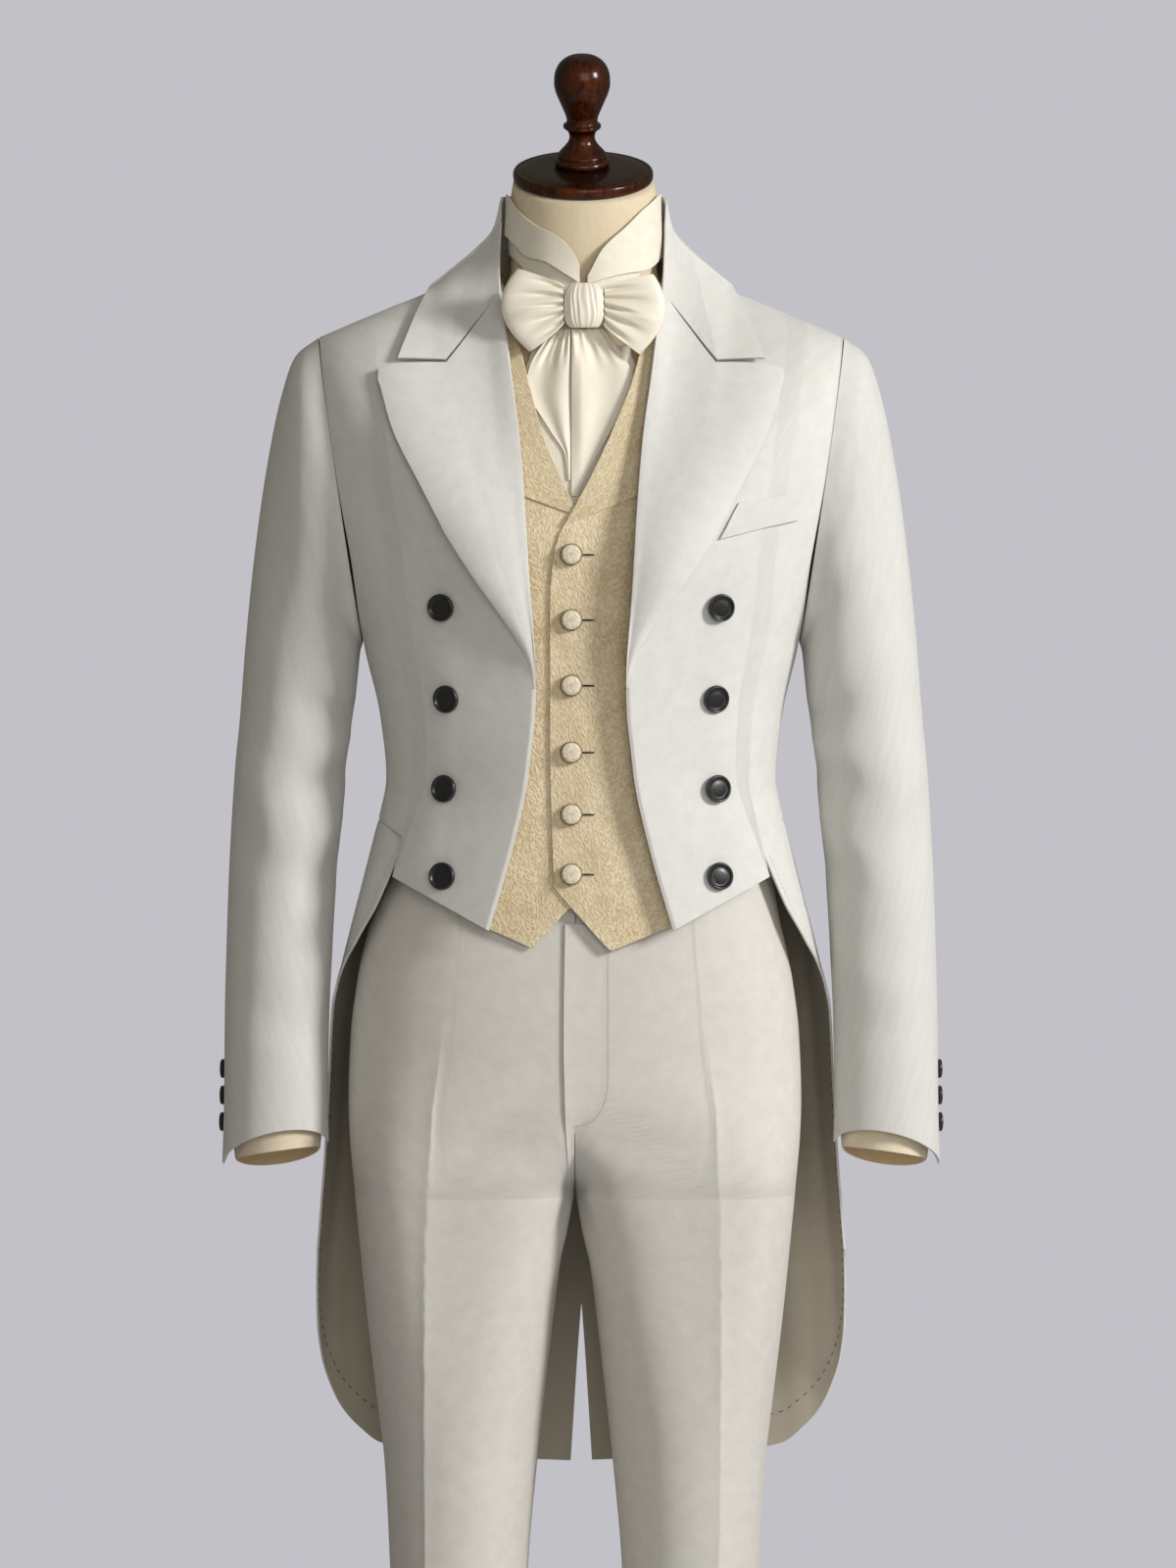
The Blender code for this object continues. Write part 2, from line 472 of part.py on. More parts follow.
def coat_tail(side):
    k = np.array([0, 0.06, 0.12, 0.19, 0.28, 0.4, 0.56, 0.72, 0.87, 1.0])[None, :]
    power = ROUND / 2.0
    foot_x = 0.2215 * np.cos(k * np.pi / 2) ** (1.0 / power)
    foot = np.interp(foot_x, TAIL_FOOT[:, 0], TAIL_FOOT[:, 1])
    top = WAIST_SEAM - 0.0006 - 0.0150 * (1.0 - ramp(0.0, 0.3, k))
    rows = np.array([0, 0.05, 0.1, 0.16, 0.23, 0.31, 0.42, 0.55, 0.68, 0.8, 0.9, 1.0])[:, None]
    height = top + (foot - top) * rows
    reach = column(TAIL_EDGE, height) / column(SKIRT, height)
    start = -np.arccos(np.clip(reach, 0.0, 1.0) ** power)
    turn = start + (np.pi / 2 - start) * k
    grid = skirt_point(turn, height, side)
    wall("coat_tail_" + side_name(side), grid, 0.0, COAT_WALL, "coat_wool", centre=(0.0, 0.0, 0.9),
         edges=(("first_row", 2),))


def sleeve_ring(row, side, count, shrink=0.0, tilt=0.0):
    """Closed ring: the cosine runs from the inner to the outer point, the sine from back to front;
    front and back arch up by the rise, and the tilt lifts the front and lowers the back."""
    xo, zo, xi, zi, mid, deep, rise = row
    turn = np.arange(count) * 2.0 * np.pi / count
    c, s = np.cos(turn), np.sin(turn)
    wide = (xo - xi) / 2.0 - shrink
    x = (xo + xi) / 2.0 + wide * c
    y = mid - (deep - shrink) * s
    z = (zo + zi) / 2.0 + (zo - zi) / 2.0 * c + rise * np.abs(s) + tilt * s
    return np.stack([x * side, y, z], axis=-1)


def sleeve_row(place):
    """Row of the sleeve table between two rings; past the last ring it carries on in a straight line."""
    whole = min(int(place), len(SLEEVE) - 2)
    return SLEEVE[whole] + (SLEEVE[whole + 1] - SLEEVE[whole]) * (place - whole)


def coat_sleeve(side):
    grid = np.array([sleeve_ring(row, side, 18) for row in SLEEVE])
    out = normals(grid, (0.24 * side, 0.0, 1.2), loop=True)
    middle = grid.mean(axis=1, keepdims=True)
    out = np.where(((grid - middle) * out).sum(axis=2, keepdims=True) > 0.0, out, -out)
    flat = out[0]
    flat[:, 0] = 0.0
    flat /= np.linalg.norm(flat, axis=-1, keepdims=True)
    wall("coat_sleeve_" + side_name(side), grid, 0.0, COAT_WALL, "coat_wool", loop=True, out=out)


def shirt_cuff(side):
    shrink = COAT_WALL + 0.0008
    grid = np.array([sleeve_ring(sleeve_row(10.15), side, 18, shrink)]
                    + [sleeve_ring(row[:7], side, 18, 0.0, row[7]) for row in CUFF])
    out = normals(grid, (0.2478 * side, -0.02, 0.9), loop=True)
    middle = grid.mean(axis=1, keepdims=True)
    out = np.where(((grid - middle) * out).sum(axis=2, keepdims=True) > 0.0, out, -out)
    wall("shirt_cuff_" + side_name(side), grid, 0.0, SHIRT_WALL, "shirt_cotton", loop=True, out=out)


def lapel_rise(share, height):
    """How far a lapel stands off the chest: it rolls up from the front edge and hangs free outside."""
    most = 0.0085 * ramp(1.275, 1.36, height) * (1.0 - 0.55 * ramp(1.40, 1.51, height))
    return most * (1.0 - (1.0 - share) ** 2.2)


def lapel(side):
    heights = np.linspace(1.2600, 1.5800, 13)
    outer = np.linspace(1.2600, 1.5150, 13)
    share = np.linspace(0.0, 1.0, 8)
    bottom = np.stack([np.interp(share, [0, 1], [column(COAT_EDGE, 1.26), 0.0375]), share * 0 + 1.26], -1)
    top = np.stack([np.interp(share, LAPEL_TOP[:, 0], LAPEL_TOP[:, i]) for i in (1, 2)], -1)
    flat = patch(edge_points(COAT_EDGE, heights), edge_points(LAPEL_EDGE, outer), bottom, top)
    out = body_normal(flat[..., 0], flat[..., 1])
    rise = lapel_rise(share[None, :], flat[..., 1]) + front_roll(flat[..., 0], flat[..., 1])
    grid = mirrored(on_body(flat[..., 0], flat[..., 1]) + out * rise[..., None], side)
    out = mirrored(out, side)
    wall("lapel_" + side_name(side), grid, LAPEL_LIFT + 0.0018, 0.0018, "coat_wool", out=out)


def coat_collar():
    """The fall of the collar: from the seam with one lapel round the neck to the other."""
    share = np.array([0, 0.25, 0.5, 0.75, 1.0])
    end = np.stack([np.interp(share, COLLAR_END[:, 0], COLLAR_END[:, i]) for i in (1, 2)], -1)
    over = np.stack([np.interp(share, COLLAR_OVER[:, 0], COLLAR_OVER[:, i]) for i in (1, 2)], -1)
    drop = (over - over[0]) / (over[-1] - over[0])
    rows = []
    for t in np.linspace(0.0, 1.0, 6):
        flat = end * (1 - t) + over * t
        out = body_normal(flat[:, 0], flat[:, 1]) * (1 - t) + np.array([0.0, 0.0, 1.0]) * t
        out /= np.linalg.norm(out, axis=-1, keepdims=True)
        rise = LAPEL_LIFT + 0.0018 + 0.0012 * np.sin(np.pi * t) + lapel_rise(share, 1.5200) * (1.0 - t)
        rows.append(on_body(flat[:, 0], flat[:, 1]) + out * rise[:, None])
    last = rows[-1]
    for turn in np.linspace(0.0, np.pi / 2, 6)[1:]:
        c, s = np.cos(turn), np.sin(turn)
        roll = np.array([last[0, 0] * c, SIDE_Y + 0.0640 * s, last[0, 2] + 0.008 * s])
        foot = np.array([last[-1, 0] * c, SIDE_Y + 0.0740 * s, last[-1, 2] + 0.012 * s])
        even = ramp(0.3, 1.3, turn)
        drop_here = drop * (1.0 - even) + share[:, None] * even
        rows.append(roll + (foot - roll) * drop_here[:, [0, 0, 1]])
    half = np.array(rows)
    left, right = half.copy(), mirrored(half, -1)
    neck = (1.0 - share)[None, :] * NECK_X * ramp(0.0, 5.0, np.arange(len(half)))[:, None]
    left[..., 0] += neck
    right[..., 0] += neck
    grid = np.concatenate([right, left[:-1][::-1]])
    out = normals(grid, (0.0, SIDE_Y, 1.50))
    wall("coat_collar", grid, 0.0, 0.0020, "coat_wool", out=out)


def breast_welt():
    k = np.linspace(0.0, 1.0, 6)[None, :]
    v = np.linspace(0.0, 1.0, 3)[:, None]
    low = np.stack([0.1075 + 0.0670 * k, 1.3790 + 0.0170 * k], -1)
    high = np.stack([0.1240 + 0.0507 * k, 1.4075 + 0.0100 * k], -1)
    flat = low * (1 - v[..., None]) + high * v[..., None]
    out = body_normal(flat[..., 0], flat[..., 1])
    grid = on_body(flat[..., 0], flat[..., 1]) + out * front_roll(flat[..., 0], flat[..., 1])[..., None]
    wall("breast_welt", grid, 0.0024, 0.0015, "coat_wool", out=out)


def facing(x, height, front=True, lift=0.0):
    """Point above the coat by lift and the direction out of the coat there."""
    out = body_normal(np.array(x), np.array(height), front)
    return on_body(np.array(x), np.array(height), front) + out * lift, out


def coat_buttons():
    places = ((0.1103, 1.3250, 0.0019), (0.1070, 1.2520, 0.0007),
              (0.1082, 1.1801, 0.0014), (0.1098, 1.1101, 0.0007))
    shape = [(0.75, 0.0), (1.0, 0.0012), (1.0, 0.0032), (0.86, 0.0042), (0.78, 0.0036)]
    for side in (-1, 1):
        for count, (x, height, lift) in enumerate(places):
            lift = lift + front_roll(np.array(x - 0.009), np.array(height))
            centre, out = facing(x * side, height, True, lift)
            profile = [(r * COAT_BUTTON_R, h) for r, h in shape]
            name = "coat_button_%s_%d" % (side_name(side), count + 1)
            turned(name, profile, centre, out, "button_horn", 10)
    for side in (-1, 1):
        centre, out = facing(0.042 * side, 1.172, False, 0.0012)
        turned("back_button_" + side_name(side), [(r * COAT_BUTTON_R, h) for r, h in shape], centre, out,
               "button_horn", 10)


def cuff_buttons():
    """Three on the back outer side of each sleeve."""
    for side in (-1, 1):
        for count, height in enumerate((0.9520, 0.9305, 0.9090)):
            place = np.interp(height, SLEEVE[::-1, 1], np.arange(len(SLEEVE))[::-1])
            ring = sleeve_row(place)
            turn = np.radians(-8.0)
            wide, deep = (ring[0] - ring[2]) / 2, ring[5]
            out = np.array([np.cos(turn) / wide * side, -np.sin(turn) / deep, 0.0])
            out /= np.linalg.norm(out)
            across = (ring[0] + ring[2]) / 2 + wide * np.cos(turn)
            centre = np.array([across * side, ring[4] - deep * np.sin(turn), height])
            profile = [(r * CUFF_BUTTON_R, h) for r, h in ((0.8, 0.0), (1.0, 0.001), (1.0, 0.0028), (0.8, 0.0040))]
            name = "cuff_button_%s_%d" % (side_name(side), count + 1)
            turned(name, profile, centre, out, "button_horn", 10)


# ---- waistcoat ----
def vest_front(side):
    edge = VEST_EDGE_LEFT if side > 0 else VEST_EDGE_RIGHT
    lower = VEST_FOOT_LEFT if side > 0 else VEST_FOOT_RIGHT
    depth = VEST_OVER if side > 0 else VEST_UNDER

    def inner(height):
        return column(edge, height) / half_width(height)

    def outer(height):
        return 1.0 - 0.14 * ramp(1.27, 1.36, height)

    def foot(k):
        wide = edge[0, 1] + (0.1700 - edge[0, 1]) * k
        return np.interp(wide, lower[:, 0], lower[:, 1])

    shares = np.array([0, 0.13, 0.22, 0.3, 0.38, 0.5, 0.64, 0.79, 0.91, 0.98, 1.0])
    grid = body_grid(shares, inner, outer, foot, np.ones_like, 6, 6)
    wall("vest_front_" + side_name(side), mirrored(grid, side), depth, VEST_WALL, "vest_cloth",
         edges=(("last_row", 1), ("last_col", 1)))


def vest_back():
    half = np.array([0, 0.24, 0.46, 0.66, 0.83, 0.95, 1.0])
    shares = np.concatenate([-half[:0:-1], half])

    def outer(height):
        return 1.0 - 0.14 * ramp(1.27, 1.36, height)

    def foot(k):
        return np.full_like(k, 1.162)

    def top_rise(share):
        return np.minimum(1.0, 0.66 + 0.34 * (share / 0.36) ** 2)

    grid = body_grid(half, np.zeros_like, outer, foot, top_rise, 5, 5, False)
    whole = np.concatenate([mirrored(grid, -1)[:, :0:-1], grid], axis=1)
    wall("vest_back", whole, VEST_OVER - 0.0010, VEST_WALL, "vest_cloth",
         edges=(("last_row", 1), ("last_col", 1), ("first_col", 1)))


def vest_lapel(side):
    """Turned edge of the waistcoat opening, between its V edge and a slanted lower end."""
    edge = VEST_EDGE_LEFT if side > 0 else VEST_EDGE_RIGHT
    low = 1.3905 if side > 0 else 1.3980
    depth = (VEST_OVER if side > 0 else VEST_UNDER) + 0.0007 + 0.0011
    heights = np.linspace(low, 1.545, 8)
    outer_h = np.linspace(1.4170, 1.560, 8)
    left = edge_points(edge, heights)
    right = np.stack([np.interp(outer_h, [1.417, 1.56], [0.0500, 0.0720]), outer_h], -1)
    share = np.linspace(0.0, 1.0, 5)[:, None]
    bottom = left[0] * (1 - share) + right[0] * share
    top = left[-1] * (1 - share) + right[-1] * share
    flat = patch(left, right, bottom, top)
    grid = mirrored(on_body(flat[..., 0], flat[..., 1]), side)
    out = mirrored(body_normal(flat[..., 0], flat[..., 1]), side)
    wall("vest_lapel_" + side_name(side), grid, depth, 0.0011, "vest_cloth", out=out)


def vest_buttons():
    shape = [(0.8, 0.0), (1.0, 0.0016), (0.85, 0.0036), (0.45, 0.0050)]
    for count, height in enumerate((1.3667, 1.3144, 1.2622, 1.2090, 1.1597, 1.1120)):
        centre, out = facing(-0.0077, height, True, VEST_OVER + 0.0007)
        turned("vest_button_%d" % (count + 1), [(r * VEST_BUTTON_R, h) for r, h in shape], centre, out,
               "vest_cloth", 10)


# ---- trousers ----
def trouser_shift(height):
    """How far the trousers stand to the side: none at the waist, where they follow the form."""
    return TROUSER_X * (1.0 - ramp(1.06, 1.125, height))


def trouser_leg(side):
    """One sheet: round the leg below the crotch, from centre front to centre back above it."""
    u = np.array([0, 0.05, 0.12, 0.19, 0.25, 0.31, 0.38, 0.46, 0.54, 0.62, 0.69, 0.75, 0.81, 0.88, 0.95,
                  1.0])[None, :]
    height = np.array(LEG_ROWS)[:, None]
    half, front, back = (column(LEGS, height, i) for i in (1, 2, 3))
    inside = column(INSEAM, height)
    above = height > CROTCH
    middle = np.where(above, 0.5 * (half + 0.0002) * (1 - ramp(CROTCH, 0.975, height)), 0.5 * (half + inside))
    wide = half - middle
    power = 2.0 / (2.3 + 1.0 * ramp(0.62, CROTCH, height) - 0.7 * ramp(CROTCH, 0.98, height))
    start = np.arccos(np.clip(np.where(above, middle / wide, 1.0), 0.0, 1.0) ** (1.0 / power))
    turn = start + (2.0 * np.pi - 2.0 * start) * u
    x = np.maximum(middle - wide * bent(np.cos(turn), power), GAP / 2)
    s = bent(np.sin(turn), power)
    y = np.where(s > 0.0, -front * s, -back * s)
    crease = 0.005 * ramp(1.02, 0.90, height) * (np.exp(-((u - 0.25) / 0.028) ** 2) * -1.0
                                                 + np.exp(-((u - 0.75) / 0.028) ** 2))
    y = y + crease + np.where(u == 0, -GAP / 2, 0.0) + np.where(u == 1, GAP / 2, 0.0)
    grid = np.stack([x + 0 * y, y, height + 0 * y], axis=-1)
    grid[..., 0] = grid[..., 0] * side
    out = normals(grid, (0.09 * side, 0.0, 0.5))
    seat = (height[:, 0] > CROTCH + 0.001)
    for j in (0, -1):
        out[seat, j, 0] = 0.0
        out[~seat, j] = (-side, 0.0, 0.0)
        out[:, j] /= np.linalg.norm(out[:, j], axis=-1, keepdims=True)
    out[-1, :, 2] = 0.0
    out[-1] /= np.linalg.norm(out[-1], axis=-1, keepdims=True)
    crotch = LEG_ROWS.index(CROTCH)
    out[crotch, 0] = out[crotch, -1] = (0.0, 0.0, -1.0)
    grid[..., 0] += trouser_shift(height)
    wall("trouser_leg_" + side_name(side), grid, 0.0, LEG_WALL, "trouser_wool", out=out)


def waistband():
    count = 32
    turn = np.arange(count) * 2.0 * np.pi / count
    rings = []
    for height in (1.1304, 1.149, 1.168):
        half, front, back = (column(LEGS, height, i) for i in (1, 2, 3))
        power = 2.0 / 2.6
        x = trouser_shift(height) + half * bent(np.cos(turn), power)
        s = bent(np.sin(turn), power)
        rings.append(np.stack([x, np.where(s > 0, back * s, front * s), turn * 0 + height], -1))
    grid = np.array(rings)
    out = normals(grid, (0.0, 0.0, 1.149), loop=True)
    out[..., 2] = 0.0
    out /= np.linalg.norm(out, axis=-1, keepdims=True)
    wall("waistband", grid, 0.0, LEG_WALL, "trouser_wool", loop=True, out=out)


# ---- shirt and bow ----
def neck_y(x):
    return NECK_Y - np.sqrt(np.maximum(NECK_R ** 2 - np.minimum(np.abs(x - NECK_X), NECK_R * 0.8) ** 2, 0.0))


def shirt_surface(x, height, depth):
    """The coat's surface moved in by depth, but never inside the form's neck."""
    steep = np.minimum(1.0 / np.abs(body_normal(x, height)[..., 1]), 1.6)
    y = body_y(x, height) - depth * steep
    return np.minimum(y, neck_y(x) - (SHIRT_WALL + 0.0036) - (depth - SHIRT_DEPTH) * 0.8)


def shirt_front():
    x = np.linspace(-0.072, 0.072, 11)[None, :]
    height = np.array([1.20, 1.26, 1.32, 1.37, 1.41, 1.44, 1.47, 1.50, 1.52, 1.5380])[:, None]
    wide = x * (1.0 - 0.45 * ramp(1.46, 1.54, height))
    y = shirt_surface(wide, height + 0 * x, SHIRT_DEPTH)
    grid = np.stack([wide, y, height + 0 * x], axis=-1)
    wall("shirt_front", grid, 0.0, SHIRT_WALL, "shirt_cotton")


def collar_rings(name, radius, left, right, flare):
    """Band round the neck, open at the front: its edges, given as foot and top of each side, rise from
    the throat to the sides, and it flares towards its foot."""
    turn = np.linspace(0.05, 2.0 * np.pi - 0.05, 29)
    reach = radius * np.sin(np.minimum(np.minimum(turn, 2.0 * np.pi - turn), np.pi / 2))
    behind = ramp(1.58, 1.82, np.minimum(turn, 2.0 * np.pi - turn))
    low, high = (np.where(turn < np.pi, column(left[i], reach), column(right[i], reach)) for i in (0, 1))
    low = low * (1.0 - behind) + 1.639 * behind
    rows = []
    for t in (0.0, 0.5, 1.0):
        away = radius + flare * (1.0 - t) ** 2
        rows.append(np.stack([NECK_X + (away + NECK_WIDER) * np.sin(turn), NECK_Y - away * np.cos(turn),
                              low * (1 - t) + high * t], -1))
    out = np.stack([np.sin(turn), -np.cos(turn), turn * 0.0], -1)
    wall(name, np.array(rows), 0.0, SHIRT_WALL, "shirt_cotton", out=np.repeat(out[None], 3, axis=0))


def shirt_collar():
    collar_rings("shirt_neckband", NECK_R + 0.0006 + SHIRT_WALL, (BAND_FOOT, BAND_TOP), (BAND_FOOT, BAND_TOP), 0.0)
    collar_rings("shirt_collar", NECK_R + 0.0022 + SHIRT_WALL, (FALL_FOOT_LEFT, FALL_TOP_LEFT),
                 (FALL_FOOT_RIGHT, FALL_TOP_RIGHT), 0.0016)


def bow_knot():
    turn = np.arange(14) * 2.0 * np.pi / 14
    rings = []
    for place, size in ((-1.0, 0.66), (-0.6, 0.94), (0.0, 1.0), (0.6, 0.93), (1.0, 0.64)):
        x = BOW_X + 0.0166 * size * bent(np.cos(turn), 0.75)
        y = BOW_Y + 0.0095 * size * bent(np.sin(turn), 0.75)
        rings.append(np.stack([x, y, turn * 0 + 1.5690 + 0.0180 * place], -1))
    loft("bow_knot", rings, "bow_satin")


def bow_loop(side):
    """A band that leaves the knot, folds back at its outer end and returns behind itself."""
    turn = np.linspace(0.0, np.pi, 13)[None, :]
    b = np.linspace(-1.0, 1.0, 7)[:, None]
    knot_x, knot_z = 0.0166, 1.5690 + 0.0150 * b
    reach, less, lean, middle, high = LOOPS[side]
    end_x = reach - less * b ** 2 + lean * b
    end_z = middle + high * b
    out = np.sin(turn)
    x = knot_x + (end_x - knot_x) * out
    z = knot_z + (end_z - knot_z) * out ** 0.8
    y = BOW_Y - 0.0105 * np.cos(turn) * (0.30 + 0.70 * np.sin(turn)) * (1.0 - 0.25 * b ** 2)
    grid = np.stack([BOW_X + x * side, y + 0 * x, z], axis=-1)
    wall("bow_loop_" + side_name(side), grid, 0.0, SATIN_WALL, "bow_satin",
         centre=(BOW_X + 0.035 * side, BOW_Y, 1.566))


def bow_tail(side):
    """Hanging end of the bow, wide below the knot and drawn to a point."""
    outline, inner = TAIL_OUTLINE[side], TAIL_INNER[side]
    height = np.linspace(outline[0, 0], outline[-1, 0], 12)[:, None]
    k = np.linspace(0.0, 1.0, 6)[None, :]
    x = (column(inner, height) * (1 - k) + column(outline, height) * k) * side
    lift = 0.0042 * ramp(1.515, 1.549, height) - 0.0002
    y = shirt_surface(x, height + 0 * k, TAILS_DEPTH) - lift
    grid = np.stack([x, y, height + 0 * k], axis=-1)
    wall("bow_tail_" + side_name(side), grid, 0.0, SATIN_WALL, "bow_satin")


# ---- dress form and stand ----
def dress_form():
    turn = np.arange(20) * 2.0 * np.pi / 20
    rings = []
    for height, half, front, back in FORM:
        power = 2.0 / (2.4 - 0.4 * ramp(1.45, 1.58, height))
        shift = NECK_X * ramp(1.5, 1.6, height)
        s = bent(np.sin(turn), power)
        rings.append(np.stack([shift + half * bent(np.cos(turn), power), np.where(s > 0, back * s, front * s),
                               turn * 0 + height], -1))
    top = rings[-1].copy()
    top[:, 0] = NECK_X + (top[:, 0] - NECK_X) * 0.957
    top[:, 2] = NECK_TOP + (top[:, 1] - NECK_Y) * np.tan(NECK_LEAN)
    rings.append(top)
    loft("form_torso", rings, "form_linen")


def cap_and_finial():
    axis = np.array([0.0, -np.sin(NECK_LEAN), np.cos(NECK_LEAN)])
    seat = np.array([0.0016, NECK_Y, NECK_TOP]) + axis * 0.0006
    cap = [(0.0530, 0.0), (0.0566, 0.0014), (0.0572, 0.0040),
           (0.0572, 0.0080), (0.0555, 0.0100), (0.0520, 0.0106)]
    turned("neck_cap", cap, seat, axis, "dark_wood", 24)
    foot = seat + axis * 0.0109 + np.array([-0.0008, np.cos(NECK_LEAN) * 0.008, np.sin(NECK_LEAN) * 0.008])
    turned("finial", KNOB, foot, axis, "dark_wood", 14)


def stand():
    for side in (-1, 1):
        centre = (TROUSER_X + POST_X * side, 0.0, 0.0)
        turned("upright_" + side_name(side), [(POST_R, BASE_THICK + GAP), (POST_R, FORM_FOOT - GAP)], centre,
               (0, 0, 1), "stand_metal", 16)
    turn = np.arange(40) * 2.0 * np.pi / 40
    flat = np.stack([BASE_HALF[0] * bent(np.cos(turn), 0.45), BASE_HALF[1] * bent(np.sin(turn), 0.45)], -1)
    rings = [np.column_stack([flat * size, np.full(40, height)])
             for size, height in ((1.0, 0.0), (1.0, BASE_THICK - 0.004), (0.982, BASE_THICK))]
    loft("base", rings, "stand_metal")


def build():
    clear_scene()
    stand()
    dress_form()
    cap_and_finial()
    shirt_front()
    shirt_collar()
    waistband()
    vest_back()
    coat_collar()
    breast_welt()
    for side in (-1, 1):
        trouser_leg(side)
        vest_front(side)
        vest_lapel(side)
        coat_front(side)
        coat_back(side)
        coat_tail(side)
        coat_sleeve(side)
        shirt_cuff(side)
        lapel(side)
        bow_loop(side)
        bow_tail(side)
    bow_knot()
    vest_buttons()
    coat_buttons()
    cuff_buttons()


build()
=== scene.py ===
import bpy
import numpy as np
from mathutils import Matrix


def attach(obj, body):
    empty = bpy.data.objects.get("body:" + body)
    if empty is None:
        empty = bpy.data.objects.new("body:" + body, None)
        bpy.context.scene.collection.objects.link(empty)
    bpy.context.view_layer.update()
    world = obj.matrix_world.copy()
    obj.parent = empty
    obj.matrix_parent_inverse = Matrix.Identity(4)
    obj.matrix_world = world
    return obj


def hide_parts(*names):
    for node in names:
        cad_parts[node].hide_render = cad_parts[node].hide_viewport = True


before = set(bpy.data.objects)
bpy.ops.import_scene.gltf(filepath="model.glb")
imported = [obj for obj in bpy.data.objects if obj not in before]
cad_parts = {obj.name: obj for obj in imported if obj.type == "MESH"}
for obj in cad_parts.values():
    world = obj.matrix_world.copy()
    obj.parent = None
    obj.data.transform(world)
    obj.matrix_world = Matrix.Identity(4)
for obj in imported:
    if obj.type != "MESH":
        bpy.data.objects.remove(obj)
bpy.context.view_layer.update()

# ---- camera, floor and studio light ----
# A level camera five metres in front of the chest, a pale round floor, a large soft lamp on the
# wearer's left, a weak one on the right, and an even grey-lilac room.
VIEW_CENTRE = (0.0056, 1.184)
VIEW_HEIGHT, VIEW_AWAY = 1.28, 5.0
ROOM_COLOUR = (0.539, 0.533, 0.571, 1.0)
ROOM_GLOW = (0.213, 0.200, 0.173, 1.0)

camera = bpy.data.cameras.new("camera")
camera.sensor_fit, camera.sensor_height = "VERTICAL", 36.0
camera.lens = camera.sensor_height * VIEW_AWAY / VIEW_HEIGHT
eye = bpy.data.objects.new("camera", camera)
eye.location = (VIEW_CENTRE[0], -VIEW_AWAY, VIEW_CENTRE[1])
eye.rotation_euler = (np.pi / 2, 0.0, 0.0)
bpy.context.scene.collection.objects.link(eye)
bpy.context.scene.camera = eye
bpy.context.scene.view_settings.view_transform = "Standard"

room = bpy.data.worlds.new("room")
room.use_nodes = True
shown = room.node_tree.nodes["Background"]
shown.inputs["Color"].default_value = ROOM_COLOUR
glow = room.node_tree.nodes.new("ShaderNodeBackground")
glow.inputs["Color"].default_value = ROOM_GLOW
path = room.node_tree.nodes.new("ShaderNodeLightPath")
choice = room.node_tree.nodes.new("ShaderNodeMixShader")
for socket, source in ((0, path.outputs["Is Camera Ray"]), (1, glow.outputs[0]), (2, shown.outputs[0])):
    room.node_tree.links.new(source, choice.inputs[socket])
room.node_tree.links.new(choice.outputs[0], room.node_tree.nodes["World Output"].inputs["Surface"])
bpy.context.scene.world = room


def soft_lamp(name, place, aim, size, watts, colour):
    """Square area lamp at place, turned so that its face looks at aim."""
    light = bpy.data.lights.new(name, "AREA")
    light.size, light.energy, light.color = size, watts, colour
    lamp = bpy.data.objects.new(name, light)
    lamp.location = place
    toward = np.asarray(aim, float) - np.asarray(place, float)
    flat = np.hypot(toward[0], toward[1])
    lamp.rotation_euler = (np.arctan2(flat, -toward[2]), 0.0, np.arctan2(-toward[0], toward[1]))
    bpy.context.scene.collection.objects.link(lamp)


soft_lamp("key_lamp", (2.8, -1.85, 2.5), (0.0, 0.0, 1.20), 0.8, 106.0, (1.0, 0.99, 0.975))
soft_lamp("fill_lamp", (0.6, -3.6, 1.9), (0.0, 0.0, 1.15), 2.0, 30.0, (1.0, 0.99, 0.975))


def add_node(tree, kind, values=None, **settings):
    """Adds one shader node; values gives each input a number, a colour or another node's output."""
    made = tree.nodes.new(kind)
    for key, value in settings.items():
        setattr(made, key, value)
    for key, value in (values or {}).items():
        if isinstance(value, bpy.types.NodeSocket):
            tree.links.new(value, made.inputs[key])
        else:
            made.inputs[key].default_value = value
    return made


def maths(tree, operation, first, second=0.0, third=0.0, clamp=False):
    """Output of a Math node."""
    return add_node(tree, "ShaderNodeMath", {0: first, 1: second, 2: third}, operation=operation,
                    use_clamp=clamp).outputs[0]


def noise(tree, place, scale, detail=2.0, distortion=0.0):
    """Output of a noise texture at place."""
    return add_node(tree, "ShaderNodeTexNoise", {"Vector": place, "Scale": scale, "Detail": detail,
                                                 "Distortion": distortion}).outputs[0]


def object_place(tree):
    """The point on the object, in metres."""
    return add_node(tree, "ShaderNodeTexCoord").outputs["Object"]


def blend_colour(tree, share, low, high):
    """Output of a colour mix; low and high are each three values or another node's output."""
    ends = [colour if isinstance(colour, bpy.types.NodeSocket) else (*colour, 1.0) for colour in (low, high)]
    return add_node(tree, "ShaderNodeMix", {0: share, 6: ends[0], 7: ends[1]}, data_type="RGBA").outputs[2]


def new_finish(name, roughness, **sockets):
    """Material with a Principled shader; sockets are its constant inputs. Returns material, tree, shader."""
    made = bpy.data.materials.new(name)
    made.use_nodes = True
    shader = made.node_tree.nodes["Principled BSDF"]
    shader.inputs["Roughness"].default_value = roughness
    for key, value in sockets.items():
        shader.inputs[key.replace("_", " ")].default_value = value
    return made, made.node_tree, shader


def tint(tree, shader, share, low, high):
    """Gives the shader a base colour between low and high."""
    tree.links.new(blend_colour(tree, share, low, high), shader.inputs["Base Color"])


